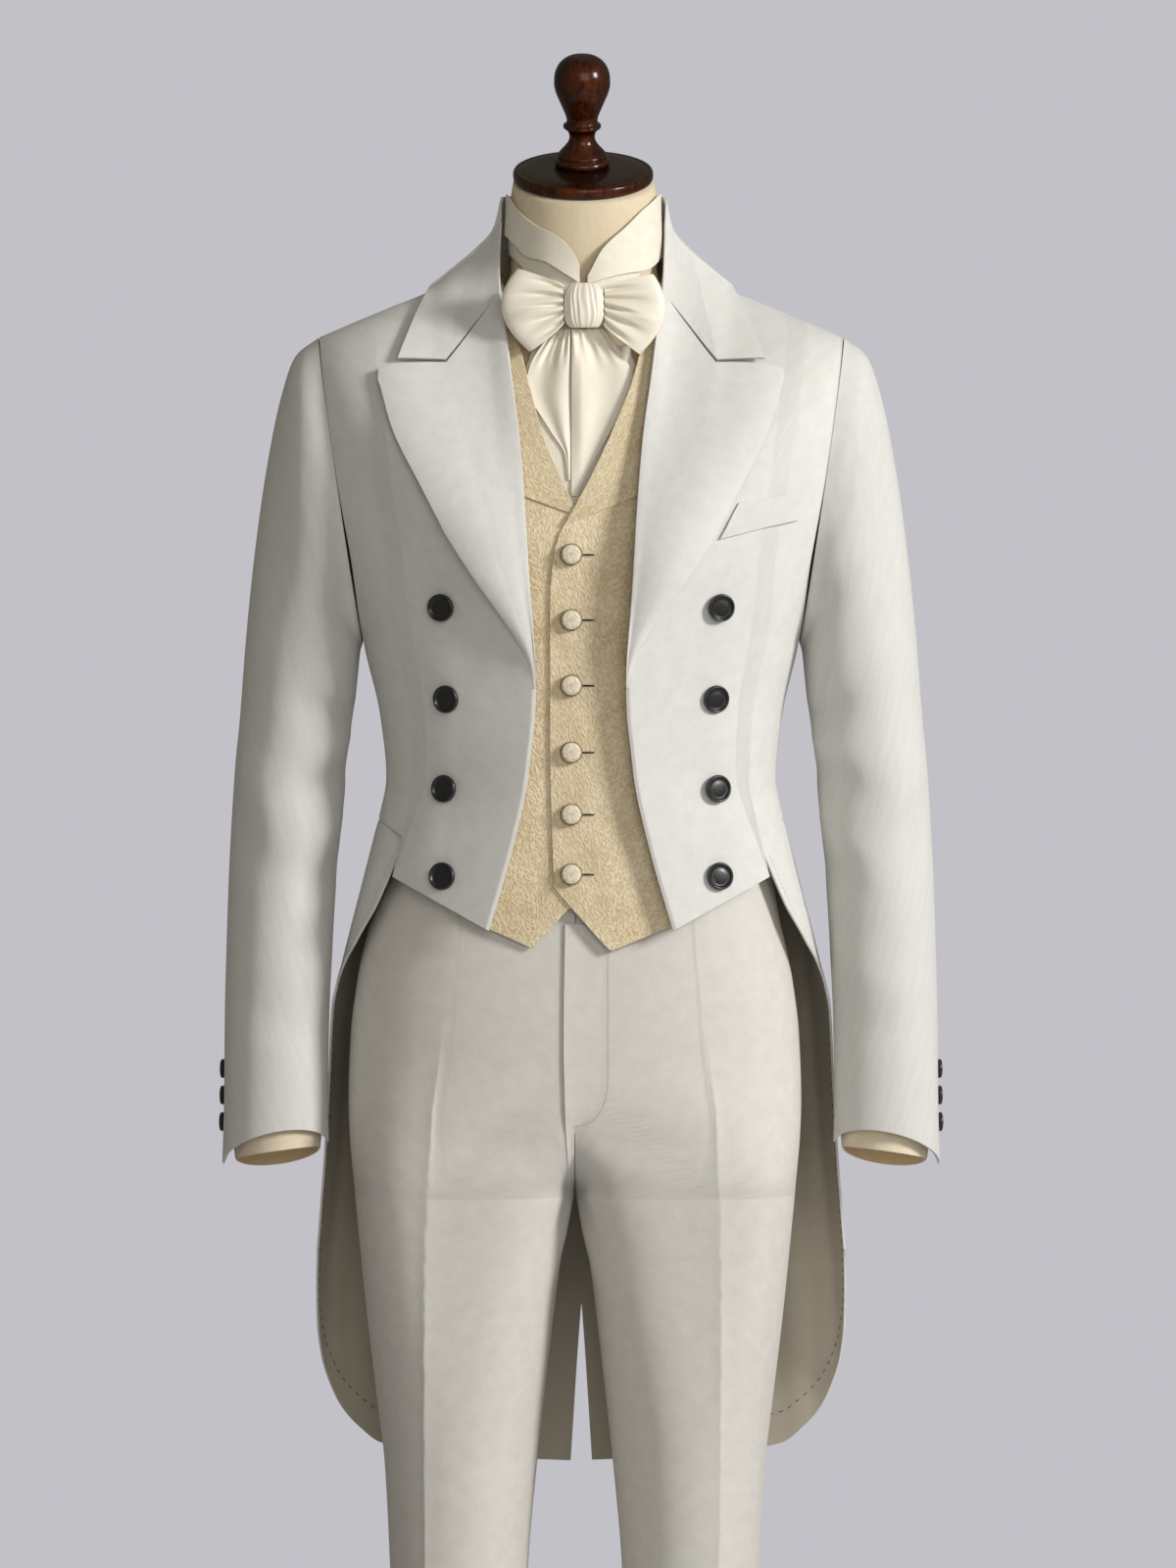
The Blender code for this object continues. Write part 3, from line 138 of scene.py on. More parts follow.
def bump(tree, shader, height, distance, strength=1.0):
    """Feeds a height into the shader's normal."""
    made = add_node(tree, "ShaderNodeBump", {"Height": height, "Distance": distance, "Strength": strength})
    tree.links.new(made.outputs[0], shader.inputs["Normal"])


def speckled(name, roughness, dark, light, scale, detail=2.0, distortion=0.0, **sockets):
    """Finish whose colour runs from dark to light with one noise. Returns material, tree, shader, noise."""
    made, tree, shader = new_finish(name, roughness, **sockets)
    specks = noise(tree, object_place(tree), scale, detail, distortion)
    tint(tree, shader, specks, dark, light)
    return made, tree, shader, specks


def full_turn(sides):
    """Angles of the points of a ring, one whole turn in all."""
    return np.arange(sides) * 2.0 * np.pi / sides


FLOOR_RADIUS, FLOOR_LEVEL, FLOOR_SIDES = 2.3, -0.0006, 96
floor_paint = speckled("floor_paint", 0.7, (0.52, 0.515, 0.545), (0.56, 0.555, 0.585), 60.0, 4.0)[0]
around = full_turn(FLOOR_SIDES)
ring = FLOOR_RADIUS * np.column_stack([np.cos(around), np.sin(around), 0.0 * around])
floor_mesh = bpy.data.meshes.new("floor")
floor_mesh.from_pydata((ring + (0.0, 0.0, FLOOR_LEVEL)).tolist(), [], [list(range(FLOOR_SIDES))])
floor_mesh.materials.append(floor_paint)
floor = bpy.data.objects.new("floor", floor_mesh)
bpy.context.scene.collection.objects.link(floor)

# ---- stand ----
# A heavy steel plate with two round uprights that run up inside the trouser legs to the form.
# Powder coated, satin black, with a fine orange-peel surface.
stand_coat, tree, shader = speckled("stand_coat", 0.42, (0.018, 0.018, 0.020), (0.045, 0.045, 0.047), 14.0,
                                    6.0, Metallic=0.3)[:3]
bump(tree, shader, noise(tree, object_place(tree), 900.0), 0.0002)
for name in ("base", "upright_left", "upright_right"):
    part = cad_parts[name]
    part.data.materials.clear()
    part.data.materials.append(stand_coat)

# ---- dress form ----
# Hard shell covered with stretched cream linen, with a neck; it has no limbs. Its rings are
# rounded sections whose depth differs in front and behind.

# form: height, half width, depth in front, depth behind
FORM = np.array([
    (0.905, 0.140, 0.080, 0.090), (0.918, 0.158, 0.093, 0.105), (0.960, 0.172, 0.100, 0.113),
    (1.020, 0.1665, 0.0985, 0.1065), (1.070, 0.156, 0.097, 0.092), (1.115, 0.148, 0.097, 0.0815),
    (1.190, 0.1445, 0.1050, 0.0730), (1.240, 0.1490, 0.1080, 0.0770), (1.300, 0.1620, 0.1115, 0.0900),
    (1.360, 0.1670, 0.1120, 0.1000), (1.420, 0.1740, 0.1000, 0.1020), (1.475, 0.1770, 0.0770, 0.0880),
    (1.510, 0.1700, 0.0610, 0.0740), (1.535, 0.1500, 0.0500, 0.0640), (1.553, 0.1120, 0.0430, 0.0580),
    (1.568, 0.0860, 0.0430, 0.0560), (1.584, 0.0680, 0.0460, 0.0555), (1.602, 0.0602, 0.0502, 0.0560),
    (1.625, 0.0593, 0.0542, 0.0567), (1.650, 0.0600, 0.0560, 0.0570)])
NECK_X, NECK_Y, NECK_R = 0.0020, 0.0010, 0.0572
NECK_WIDER, NECK_TOP, NECK_LEAN = 0.0028, 1.6756, np.radians(22.0)


def ramp(low, high, value):
    """Smooth step from 0 at low to 1 at high."""
    t = np.clip((np.asarray(value, float) - low) / (high - low), 0.0, 1.0)
    return t * t * (3.0 - 2.0 * t)


def bent(value, power):
    """Keeps the sign of value and raises its size to power."""
    return np.sign(value) * np.abs(value) ** power


def straight(table, at, index=1):
    """Straight lines through a table's points."""
    return np.interp(at, table[:, 0], table[:, index])


def curve(table, at, index=1):
    """Smooth line through a table's points: cubic between rows, where the slope at a row is the harmonic
    mean of the slopes beside it, so that it never swings past a point."""
    x, y = table[:, 0], table[:, index]
    wide = np.diff(x)
    slope = np.diff(y) / wide
    both = slope[1:] * slope[:-1] > 0.0
    inner = np.where(both, 2 * slope[1:] * slope[:-1] / np.where(both, slope[1:] + slope[:-1], 1.0), 0.0)
    lean = np.concatenate([slope[:1], inner, slope[-1:]])
    at = np.clip(at, x[0], x[-1])
    i = np.clip(np.searchsorted(x, at) - 1, 0, len(wide) - 1)
    t = (at - x[i]) / wide[i]
    return ((1 + 2 * t) * (1 - t) ** 2 * y[i] + t * (1 - t) ** 2 * wide[i] * lean[i]
            + t * t * (3 - 2 * t) * y[i + 1] + t * t * (t - 1) * wide[i] * lean[i + 1])


def unit(vectors):
    """The vectors, each brought to length one."""
    return vectors / (np.linalg.norm(vectors, axis=-1, keepdims=True) + 1e-12)


def lengths(grid, axis):
    """Distance walked along the grid's rows or columns, which lays the cloth flat for its weave."""
    steps = np.linalg.norm(np.diff(grid, axis=axis), axis=2)
    first = np.zeros_like(np.take(grid[..., 0], [0], axis=axis))
    return np.concatenate([first, np.cumsum(steps, axis=axis)], axis=axis)


def walked(path):
    """Distance walked along a line of points."""
    return np.concatenate([[0.0], np.cumsum(np.linalg.norm(np.diff(path, axis=0), axis=1))])


def finer(values, steps):
    """The same values with steps places from each to the next."""
    place = np.linspace(0, len(values) - 1, (len(values) - 1) * steps + 1)
    return np.interp(place, np.arange(len(values)), values)


def oval(turn, half, front, behind, roundness, level):
    """Rings of a rounded section whose depth differs in front and behind; a roundness of 2 is an ellipse."""
    power = 2.0 / roundness
    s = bent(np.sin(turn), power)
    y = np.where(s > 0, behind * s, front * s)
    return np.stack([half * bent(np.cos(turn), power), y, level + 0 * s], -1)


def capped(rings, share):
    """Rings closed at both ends: each end ring is drawn in to share of its size, then to its middle."""
    low, high = rings[0].mean(axis=0), rings[-1].mean(axis=0)
    return np.concatenate([[rings[0] * 0 + low, rings[0] * share + low * (1.0 - share)], rings,
                           [rings[-1] * share + high * (1.0 - share), rings[-1] * 0 + high]])


def put(name, points, quads, flat, spots, finish):
    """One object: points, quads as point numbers, and the flat place of each corner as numbers into flat."""
    a, b, c, d = (points[quads[:, i]] for i in range(4))
    if np.einsum("ij,ij->i", a + c, np.cross(b - a, c - a) + np.cross(c - a, d - a)).sum() < 0.0:
        quads, spots = quads[:, ::-1], spots[:, ::-1]
    mesh = bpy.data.meshes.new(name)
    mesh.from_pydata(points.tolist(), [], quads.tolist())
    layer = mesh.uv_layers.new(name="cut")
    layer.data.foreach_set("uv", flat[spots.ravel()].astype(np.float32).ravel())
    mesh.polygons.foreach_set("use_smooth", np.ones(len(quads), bool))
    mesh.materials.append(finish)
    mesh.update()
    made = bpy.data.objects.new(name, mesh)
    bpy.context.scene.collection.objects.link(made)
    return made


def quads_of(rows, cols, wrap=0):
    """Quads of a grid as numbers into rows by cols points; wrap is the number of real columns of a ring."""
    i, j = np.meshgrid(np.arange(rows - 1), np.arange(cols - 1), indexing="ij")
    if wrap:
        step, this, other = wrap, j % wrap, (j + 1) % wrap
    else:
        step, this, other = cols, j, j + 1
    return np.stack([i * step + this, i * step + other, (i + 1) * step + other, (i + 1) * step + this],
                    -1).reshape(-1, 4)


def put_rings(name, rings, flat, finish):
    """One object from rings of points; flat has one column more than they have, where a ring closes."""
    rows, cols = flat.shape[:2]
    return put(name, rings.reshape(-1, 3), quads_of(rows, cols, cols - 1), flat.reshape(-1, 2),
               quads_of(rows, cols), finish)


def turned(name, profile, finish, centre, axis, sides):
    """Solid of revolution: profile holds radius and distance along the axis; its ends lie on the axis."""
    axis = unit(np.asarray(axis, float))
    across = unit(np.cross((0.0, 0.0, 1.0) if abs(axis[2]) < 0.9 else (0.0, 1.0, 0.0), axis))
    turn = full_turn(sides)
    circle = np.cos(turn)[:, None] * across + np.sin(turn)[:, None] * np.cross(axis, across)
    profile = np.asarray(profile, float)
    rings = np.asarray(centre) + circle * profile[:, None, :1] + axis * profile[:, None, 1:]
    run = np.repeat(lengths(rings, 0)[:, :1], sides + 1, axis=1)
    lap = np.broadcast_to(np.arange(sides + 1) / sides * 2 * np.pi * profile[:, 0].max(), run.shape)
    return put_rings(name, rings, np.stack([lap, run], -1), finish)


def rounded(profile, steps):
    """The profile with a smooth curve through its points, by the distance walked along them."""
    profile = np.asarray(profile, float)
    walk = walked(profile)
    return np.stack([curve(np.column_stack([walk, profile[:, i]]), finer(walk, steps)) for i in (0, 1)], -1)


def fasten(piece, slot, *nodes):
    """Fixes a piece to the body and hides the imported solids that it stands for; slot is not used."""
    if nodes:
        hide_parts(*nodes)
    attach(piece, "root")


def drawn_out(tree, place, scale):
    """A place scaled along each axis by its own number."""
    return add_node(tree, "ShaderNodeMapping", {"Vector": place, "Scale": scale}).outputs[0]


def cut_place(tree):
    """The place on a cloth's flat cut, in metres along its two grains."""
    return add_node(tree, "ShaderNodeUVMap", uv_map="cut").outputs[0]


def weave_group():
    """Plain weave on metric flat coordinates: ridges of |sin| along warp and weft, the upper one chosen by
    the sign of their product; Shade is uneven thread brightness, from noise drawn out along both."""
    group = bpy.data.node_groups.new("plain_weave", "ShaderNodeTree")
    for name, way, kind in (("Flat", "INPUT", "Vector"), ("Threads", "INPUT", "Float"),
                            ("Height", "OUTPUT", "Float"), ("Shade", "OUTPUT", "Float")):
        group.interface.new_socket(name, in_out=way, socket_type="NodeSocket" + kind)
    start = add_node(group, "NodeGroupInput")
    parts = add_node(group, "ShaderNodeSeparateXYZ", {0: start.outputs["Flat"]})
    turns = maths(group, "MULTIPLY", start.outputs["Threads"], np.pi)
    warp, weft = (maths(group, "SINE", maths(group, "MULTIPLY", parts.outputs[i], turns)) for i in (0, 1))
    over = maths(group, "MULTIPLY_ADD", maths(group, "MULTIPLY", warp, weft), 2.0, 0.5, clamp=True)
    upper = maths(group, "MULTIPLY", maths(group, "ABSOLUTE", warp), over)
    lower = maths(group, "MULTIPLY", maths(group, "ABSOLUTE", weft), maths(group, "SUBTRACT", 1.0, over))
    slubs = [noise(group, drawn_out(group, start.outputs["Flat"], scale), 1.0)
             for scale in ((90.0, 1100.0, 1.0), (1100.0, 90.0, 1.0))]
    shade = maths(group, "MULTIPLY", maths(group, "ADD", *slubs), 0.5)
    add_node(group, "NodeGroupOutput", {"Height": maths(group, "ADD", upper, lower), "Shade": shade})
    return group


WEAVE = weave_group()


def woven(name, dark, light, roughness, threads, depth, mottle=90.0, contrast=1.6, **sockets):
    """Woven cloth: its colour runs from dark to light with the threads and with soft large mottling."""
    made, tree, shader = new_finish(name, roughness, **sockets)
    flat = cut_place(tree)
    weave = add_node(tree, "ShaderNodeGroup", {"Flat": flat, "Threads": threads}, node_tree=WEAVE)
    both = maths(tree, "ADD", weave.outputs["Shade"], noise(tree, flat, mottle, 5.0))
    tint(tree, shader, maths(tree, "MULTIPLY_ADD", both, contrast, 0.5 - contrast, clamp=True), dark, light)
    bump(tree, shader, weave.outputs["Height"], depth)
    return made


form_linen = woven("form_linen", (0.76, 0.64, 0.44), (0.84, 0.72, 0.51), 0.8, 1300.0, 0.0001,
                   Sheen_Weight=0.15)
FORM_SIDES, LINEN_STEP, NECK_TAPER = 80, 0.012, 0.043
level = np.concatenate([np.linspace(FORM[0, 0], 1.45, 60), np.linspace(1.455, FORM[-1, 0], 50)])[:, None]
half, chest, behind = (curve(FORM, level, i) for i in (1, 2, 3))
form = oval(full_turn(FORM_SIDES), half, chest, behind, 2.4 - 0.4 * ramp(1.45, 1.58, level), level)
form[..., 0] += NECK_X * ramp(1.5, 1.6, level)
# the neck grows a little narrower up to its sloping rim
last_x, last_y, last_z = form[-1].T
rim = NECK_TOP + (last_y - NECK_Y) * np.tan(NECK_LEAN)
neck = [np.stack([NECK_X + (last_x - NECK_X) * (1.0 - NECK_TAPER * t ** 2), last_y,
                  last_z + t * (rim - last_z)], -1) for t in (0.25, 0.5, 0.75, 1.0)]
rings = capped(np.concatenate([form, neck]), 0.6)
down = lengths(rings, 0)
down = np.concatenate([down, down[:, :1]], axis=1)
across = np.broadcast_to(np.arange(FORM_SIDES + 1) * LINEN_STEP, down.shape)
torso = put_rings("dress_form", rings, np.stack([across, down], -1), form_linen)
fasten(torso, "form_linen", "form_torso")

# ---- neck cap and finial ----
# Turned mahogany under clear polish: a flat cap with a bead on the sloping neck, and a knob on a
# waisted stem screwed upright into it.
mahogany, tree, shader = new_finish("mahogany", 0.5, Specular_IOR_Level=0.05, Coat_Weight=0.42,
                                   Coat_Roughness=0.16)
drawn = drawn_out(tree, object_place(tree), (160.0, 160.0, 22.0))
share = maths(tree, "MULTIPLY_ADD", noise(tree, drawn, 1.0, 8.0, 1.4), 2.6, -0.85, clamp=True)
warm = blend_colour(tree, share, (0.016, 0.0036, 0.0010), (0.115, 0.024, 0.0034))
# painted shade: the colour darkens to near black where the wood turns away from the view, at the rims of the
# cap and the knob
edge = add_node(tree, "ShaderNodeLayerWeight", {"Blend": 0.62})
tint(tree, shader, edge.outputs["Facing"], warm, (0.0015, 0.0006, 0.0004))
bump(tree, shader, noise(tree, drawn, 6.0, 3.0), 0.00015, 0.4)

lean_axis = np.array([0.0, -np.sin(NECK_LEAN), np.cos(NECK_LEAN)])
lean_back = np.array([0.0, np.cos(NECK_LEAN), np.sin(NECK_LEAN)])
CAP_X, CAP_CLEAR = 0.0016, 0.0006
seat = np.array([CAP_X, NECK_Y, NECK_TOP]) + lean_axis * CAP_CLEAR
CAP = [(0.0, 0.0), (0.0500, 0.0), (0.0540, 0.0003), (0.0562, 0.0013), (0.0571, 0.0030), (0.0573, 0.0055),
       (0.0570, 0.0080), (0.0562, 0.0094), (0.0548, 0.0100), (0.0530, 0.0101), (0.0524, 0.0097),
       (0.0518, 0.0099), (0.0490, 0.0106), (0.0420, 0.0111), (0.0300, 0.0112), (0.0, 0.0112)]
CAP_THICK, FINIAL_BEHIND, FINIAL_ASIDE = CAP[-1][1], 0.008, -0.0008
KNOB = rounded([
    (0.0, 0.0), (0.0195, 0.0), (0.0218, 0.0012), (0.0226, 0.0034), (0.0216, 0.0058), (0.0200, 0.0072),
    (0.0202, 0.0086), (0.0180, 0.0120), (0.0140, 0.0165), (0.0113, 0.0205), (0.0104, 0.0238),
    (0.0110, 0.0275), (0.0132, 0.0305), (0.0154, 0.0325), (0.0154, 0.0340), (0.0136, 0.0355),
    (0.0126, 0.0375), (0.0130, 0.0405), (0.0154, 0.0470), (0.0188, 0.0550), (0.0216, 0.0620),
    (0.0229, 0.0685), (0.0226, 0.0755), (0.0204, 0.0825), (0.0160, 0.0880), (0.0095, 0.0915),
    (0.0, 0.0925)], 5)
cap = turned("neck_cap_turned", CAP, mahogany, seat, lean_axis, 72)
fasten(cap, "dark_wood", "neck_cap")
foot = seat + lean_axis * CAP_THICK + lean_back * FINIAL_BEHIND + (FINIAL_ASIDE, 0.0, 0.0)
finial = turned("finial_turned", KNOB, mahogany, foot, lean_axis, 64)
fasten(finial, "dark_wood", "finial")

# ---- trousers ----
# Light grey wool: two legs with pressed creases, joined at the centre seam, a waistband under the
# waistcoat, and a fly whose wearer's left edge laps over and is held by a curved row of stitches.
TROUSER_X, CROTCH, SEAM_GAP, LEG_WALL = -0.0050, 0.8520, 0.0004, 0.0016
# leg: height, distance of its outer side from the middle, depth in front, depth behind
LEGS = np.array([
    (0.040, 0.145, 0.093, 0.094), (0.300, 0.145, 0.090, 0.092), (0.450, 0.147, 0.089, 0.092),
    (0.545, 0.1508, 0.090, 0.093), (0.630, 0.155, 0.092, 0.096), (0.675, 0.1602, 0.094, 0.099),
    (0.750, 0.169, 0.098, 0.105), (0.800, 0.174, 0.101, 0.110), (0.852, 0.179, 0.105, 0.116),
    (0.900, 0.1835, 0.107, 0.121), (0.930, 0.1845, 0.108, 0.122), (0.980, 0.1828, 0.108, 0.120),
    (1.030, 0.1765, 0.106, 0.112), (1.0735, 0.1665, 0.104, 0.101), (1.114, 0.155, 0.102, 0.089),
    (1.130, 0.1520, 0.1030, 0.0865), (1.168, 0.1477, 0.1065, 0.0806)])
# inseam: height, distance from the middle
INSEAM = np.array([
    (0.040, 0.047), (0.300, 0.045), (0.450, 0.042), (0.550, 0.038), (0.630, 0.031), (0.690, 0.0245),
    (0.750, 0.0175), (0.810, 0.0095), (0.840, 0.0030), (0.852, 0.0002)])
# pressed crease in front: height, distance from the middle of the trousers, left and right leg
CREASE = np.array([
    (0.040, 0.1010, 0.1040), (0.300, 0.1090, 0.1100), (0.5555, 0.1135, 0.1175), (0.7818, 0.1159, 0.1190),
    (0.9127, 0.1120, 0.1133), (0.9711, 0.1060, 0.1068), (1.0735, 0.0980, 0.0980)])
# soft folds of a leg: start height, start turn, end height, end turn, half width in metres, rise
LEG_FOLDS = [
    (0.868, 0.030, 0.815, 0.090, 0.0100, -0.0028), (0.852, 0.020, 0.780, 0.055, 0.0090, 0.0026),
    (0.900, 0.060, 0.886, 0.200, 0.0130, -0.0015), (0.872, 0.050, 0.842, 0.190, 0.0170, 0.0013),
    (0.800, 0.030, 0.700, 0.120, 0.0200, -0.0014), (0.930, 0.320, 0.860, 0.460, 0.0250, -0.0012),
    (0.700, 0.040, 0.620, 0.170, 0.0260, -0.0012), (0.660, 0.310, 0.600, 0.450, 0.0260, 0.0012),
    (0.560, 0.060, 0.510, 0.190, 0.0240, 0.0014), (0.430, 0.300, 0.400, 0.480, 0.0240, -0.0018),
    (0.410, 0.020, 0.430, 0.200, 0.0180, 0.0025), (0.180, 0.100, 0.150, 0.400, 0.0220, -0.0030),
    (0.130, 0.200, 0.105, 0.480, 0.0180, 0.0026), (0.850, 0.960, 0.780, 0.840, 0.0130, -0.0036),
    (0.870, 0.900, 0.830, 0.700, 0.0150, 0.0028), (0.800, 0.920, 0.750, 0.780, 0.0160, 0.0026),
    (0.930, 0.950, 0.905, 0.760, 0.0200, -0.0022), (0.470, 0.600, 0.440, 0.900, 0.0200, -0.0028),
    (0.440, 0.620, 0.420, 0.900, 0.0180, 0.0026), (0.160, 0.600, 0.130, 0.900, 0.0220, -0.0030)]
BODY_MIDDLE = (0.0, 0.004, 1.3)
SIDES = ((1, "left"), (-1, "right"))


def normals(grid, centre, ring=False):
    """Unit directions out of a grid of points, on the side away from centre."""
    down = np.gradient(grid, axis=0)
    across = np.roll(grid, -1, 1) - np.roll(grid, 1, 1) if ring else np.gradient(grid, axis=1)
    out = unit(np.cross(down, across))
    return out if (out * (grid - np.asarray(centre))).sum() > 0.0 else -out


def square_off(out, *edges):
    """Drops one direction from the normals along an edge, so that neighbouring panels stay parallel."""
    whole = slice(None)
    place = {"first_row": (0,), "last_row": (-1,), "first_col": (whole, 0), "last_col": (whole, -1)}
    for edge, axis in edges:
        out[(*place[edge], ..., axis)] = 0.0
        out[place[edge]] = unit(out[place[edge]])
    return out


def folds(first, second, table, scale_first=1.0, scale_second=1.0):
    """Rise of soft folds: each is a rounded ridge or trough beside the straight line between its ends,
    highest halfway along it; first and second are places, scaled to metres."""
    total = np.zeros(np.broadcast(first, second).shape)
    for a1, b1, a2, b2, wide, rise in table:
        p, q = (first - a1) * scale_first, (second - b1) * scale_second
        u, v = (a2 - a1) * scale_first, (b2 - b1) * scale_second
        along = np.clip((p * u + q * v) / (u * u + v * v), -0.25, 1.25)
        off = (p - along * u) ** 2 + (q - along * v) ** 2
        total = total + rise * np.exp(-off / wide ** 2) * np.sin(np.pi * (along + 0.25) / 1.5) ** 2
    return total


def wall(name, grid, out, face, thick, finish, ring=False, round_edge=0.0005):
    """Closed wall of cloth: its outer face lies face outside the grid and its inner face thick further in;
    its cut edges are rounded over."""
    rows, cols = grid.shape[:2]
    real = cols
    outer = grid + out * face
    points = np.concatenate([outer.reshape(-1, 3), (outer - out * thick).reshape(-1, 3)])
    if ring:
        outer = np.concatenate([outer, outer[:, :1]], axis=1)
        cols += 1
    flat = np.stack([lengths(outer, 1), lengths(outer, 0)], -1).reshape(-1, 2)
    front, spots = quads_of(rows, cols, real if ring else 0), quads_of(rows, cols)
    back, deep = rows * real, rows * cols
    this, other = np.arange(cols - 1), np.arange(1, cols)
    edge = [np.stack([this, this + deep, other + deep, other], -1),
            np.stack([this, other, other + deep, this + deep], -1) + np.array([(rows - 1) * cols] * 4)]
    if not ring:
        up, next_up = np.arange(rows - 1) * cols, np.arange(1, rows) * cols
        edge += [np.stack([up, next_up, next_up + deep, up + deep], -1),
                 np.stack([up, up + deep, next_up + deep, next_up], -1) + cols - 1]
    edge = np.concatenate(edge)
    place = edge % deep
    corner = place // cols * real + place % cols % real + (edge >= deep) * back
    quads = np.concatenate([front, front[:, ::-1] + back, corner])
    spots = np.concatenate([spots, spots[:, ::-1], place])
    made = put(name, points, quads, flat, spots, finish)
    if round_edge:
        soft = made.modifiers.new("turned_edge", "BEVEL")
        soft.width, soft.segments, soft.limit_method = round_edge, 2, "ANGLE"
        soft.angle_limit, soft.harden_normals = np.radians(50.0), True
    return made


def dress(piece, grid, slot, nodes, ring=False):
    """Fixes a piece of cloth to the body and hides the imported solids it stands for; it works out the
    longest row and column and the area of its flat cut, but keeps none of them.
    """
    closed = np.concatenate([grid, grid[:, :1]], axis=1) if ring else grid
    across, down = lengths(closed, 1)[:, -1].max(), lengths(closed, 0)[-1].max()
    one, two = closed[1:, 1:] - closed[:-1, :-1], closed[1:, :-1] - closed[:-1, 1:]
    area = np.linalg.norm(np.cross(one, two), axis=2).sum() / 2
    area = float(np.clip(area, across * down * 0.301, across * down))
    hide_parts(*nodes)
    fasten(piece, slot)


def trouser_shift(height):
    """How far the trousers stand to the side: none at the waist, where they follow the form."""
    return TROUSER_X * (1.0 - ramp(1.06, 1.125, height))


def leg_power(height):
    """Power of a leg's rounded section: nearly an ellipse at the hem, squarer at the crotch."""
    return 2.0 / (2.3 + ramp(0.62, CROTCH, height) - 0.7 * ramp(CROTCH, 0.98, height))


def seat_middle(height, half):
    """Distance of a leg's middle from the centre seam, above the crotch, where the legs grow together."""
    return 0.5 * (half + 0.0002) * (1.0 - ramp(CROTCH, 0.975, height))


def leg_front(x, height):
    """Depth of the front of the trousers at x: the rounded section of the leg on that side."""
    half, front = curve(LEGS, height), curve(LEGS, height, 2)
    middle, power = seat_middle(height, half), leg_power(height)
    away = np.abs((middle - np.abs(x - trouser_shift(height))) / (half - middle))
    share = np.clip(away, 0.0, 1.0) ** (1.0 / power)
    return -front * np.sqrt(1.0 - share ** 2) ** power


trouser_wool = woven("trouser_wool", (0.636, 0.613, 0.559), (0.762, 0.739, 0.685), 0.88, 1500.0, 0.00012,
                     75.0, 1.1, Sheen_Weight=0.12, Sheen_Roughness=0.5)
# share of the way round a leg where it is pressed, and where columns are added beside the press
PRESSED = 0.25, 0.75
BESIDE_PRESS = np.array([-0.007, -0.004, -0.002, 0.002, 0.004, 0.007])
LEG_TURN = np.sort(np.concatenate([np.linspace(0.0, 1.0, 97), *(place + BESIDE_PRESS for place in PRESSED)]))
LEG_LEVEL = np.concatenate([np.linspace(0.040, 0.750, 76)[:-1], np.linspace(0.750, CROTCH, 30)[:-1],
                            np.linspace(CROTCH, 0.990, 40)[:-1], np.linspace(0.990, 1.130, 26)])
u, level = LEG_TURN[None, :], LEG_LEVEL[:, None]
half, front, behind = (curve(LEGS, level, i) for i in (1, 2, 3))
above = level > CROTCH
middle = np.where(above, seat_middle(level, half), 0.5 * (half + curve(INSEAM, level)))
power = leg_power(level)
start = np.arccos(np.clip(np.where(above, middle / (half - middle), 1.0), 0.0, 1.0) ** (1.0 / power))
for side, word in SIDES:
    # the column at a quarter is led along the pressed crease: the share of the way round where the leg's
    # front is as far out as the crease takes its place, and its neighbours follow less and less
    crease_x = curve(CREASE, level, 1 if side > 0 else 2)
    plain = start + (2.0 * np.pi - 2.0 * start) * np.linspace(0.0, 0.5, 200)[None, :]
    reach = middle - (half - middle) * bent(np.cos(plain), power)
    led = (reach < crease_x).sum(axis=1, keepdims=True) * 0.5 / 199.0
    around = u + (led - 0.25) * np.clip(np.minimum(u, 0.5 - u) / 0.25, 0.0, 1.0)
    turn = start + (2.0 * np.pi - 2.0 * start) * around
    s = bent(np.sin(turn), power)
    x = np.maximum(middle - (half - middle) * bent(np.cos(turn), power), SEAM_GAP / 2)
    y = np.where(s > 0.0, -front * s, -behind * s)
    y = y + np.where(u == 0, -SEAM_GAP / 2, 0.0) + np.where(u == 1, SEAM_GAP / 2, 0.0)
    grid = np.stack([x * side, y, level + 0 * y], -1)
    out = normals(grid, (0.09 * side, 0.0, 0.5))
    depth = 1.0 if side > 0 else 0.85
    rise = folds(level, u, LEG_FOLDS, 1.0, 0.46) * depth * ramp(0.0, 0.03, u) * ramp(1.0, 0.97, u)
    for place in PRESSED:
        off = np.abs(u - place)
        rise = rise + ramp(1.01, 0.90, level) * 0.0013 * np.maximum(1.0 - off / 0.014, 0.0) ** 1.3
        soft = np.sqrt((1.0 - off / 0.11).clip(0.0) ** 2 + 0.0025) - 0.05
        rise = rise + ramp(0.96, 0.70, level) * 0.0042 * soft
    grid = grid + out * rise[..., None]
    # above the crotch the two legs meet in the centre seam, below it a leg closes along its inseam
    joined = LEG_LEVEL > CROTCH + 0.001
    for j in (0, -1):
        out[joined, j, 0] = 0.0
        out[~joined, j] = (-side, 0.0, 0.0)
        out[:, j] = unit(out[:, j])
    square_off(out, ("last_row", 2))
    grid[..., 0] += trouser_shift(level)
    leg = wall("trouser_leg_cloth_" + word, grid, out, 0.0, LEG_WALL, trouser_wool)
    dress(leg, grid, "trouser_wool", ["trouser_leg_" + word])

BAND_LOW, BAND_HIGH = 1.1304, 1.168
level = np.linspace(BAND_LOW, BAND_HIGH, 9)[:, None]
half, front, behind = (curve(LEGS, level, i) for i in (1, 2, 3))
grid = oval(full_turn(96), half, front, behind, 2.6, level)
out = normals(grid, (0.0, 0.0, 1.149), ring=True)
band = wall("waistband_cloth", grid, out, 0.0, LEG_WALL, trouser_wool, ring=True)
dress(band, grid, "trouser_wool", ["waistband"], ring=True)

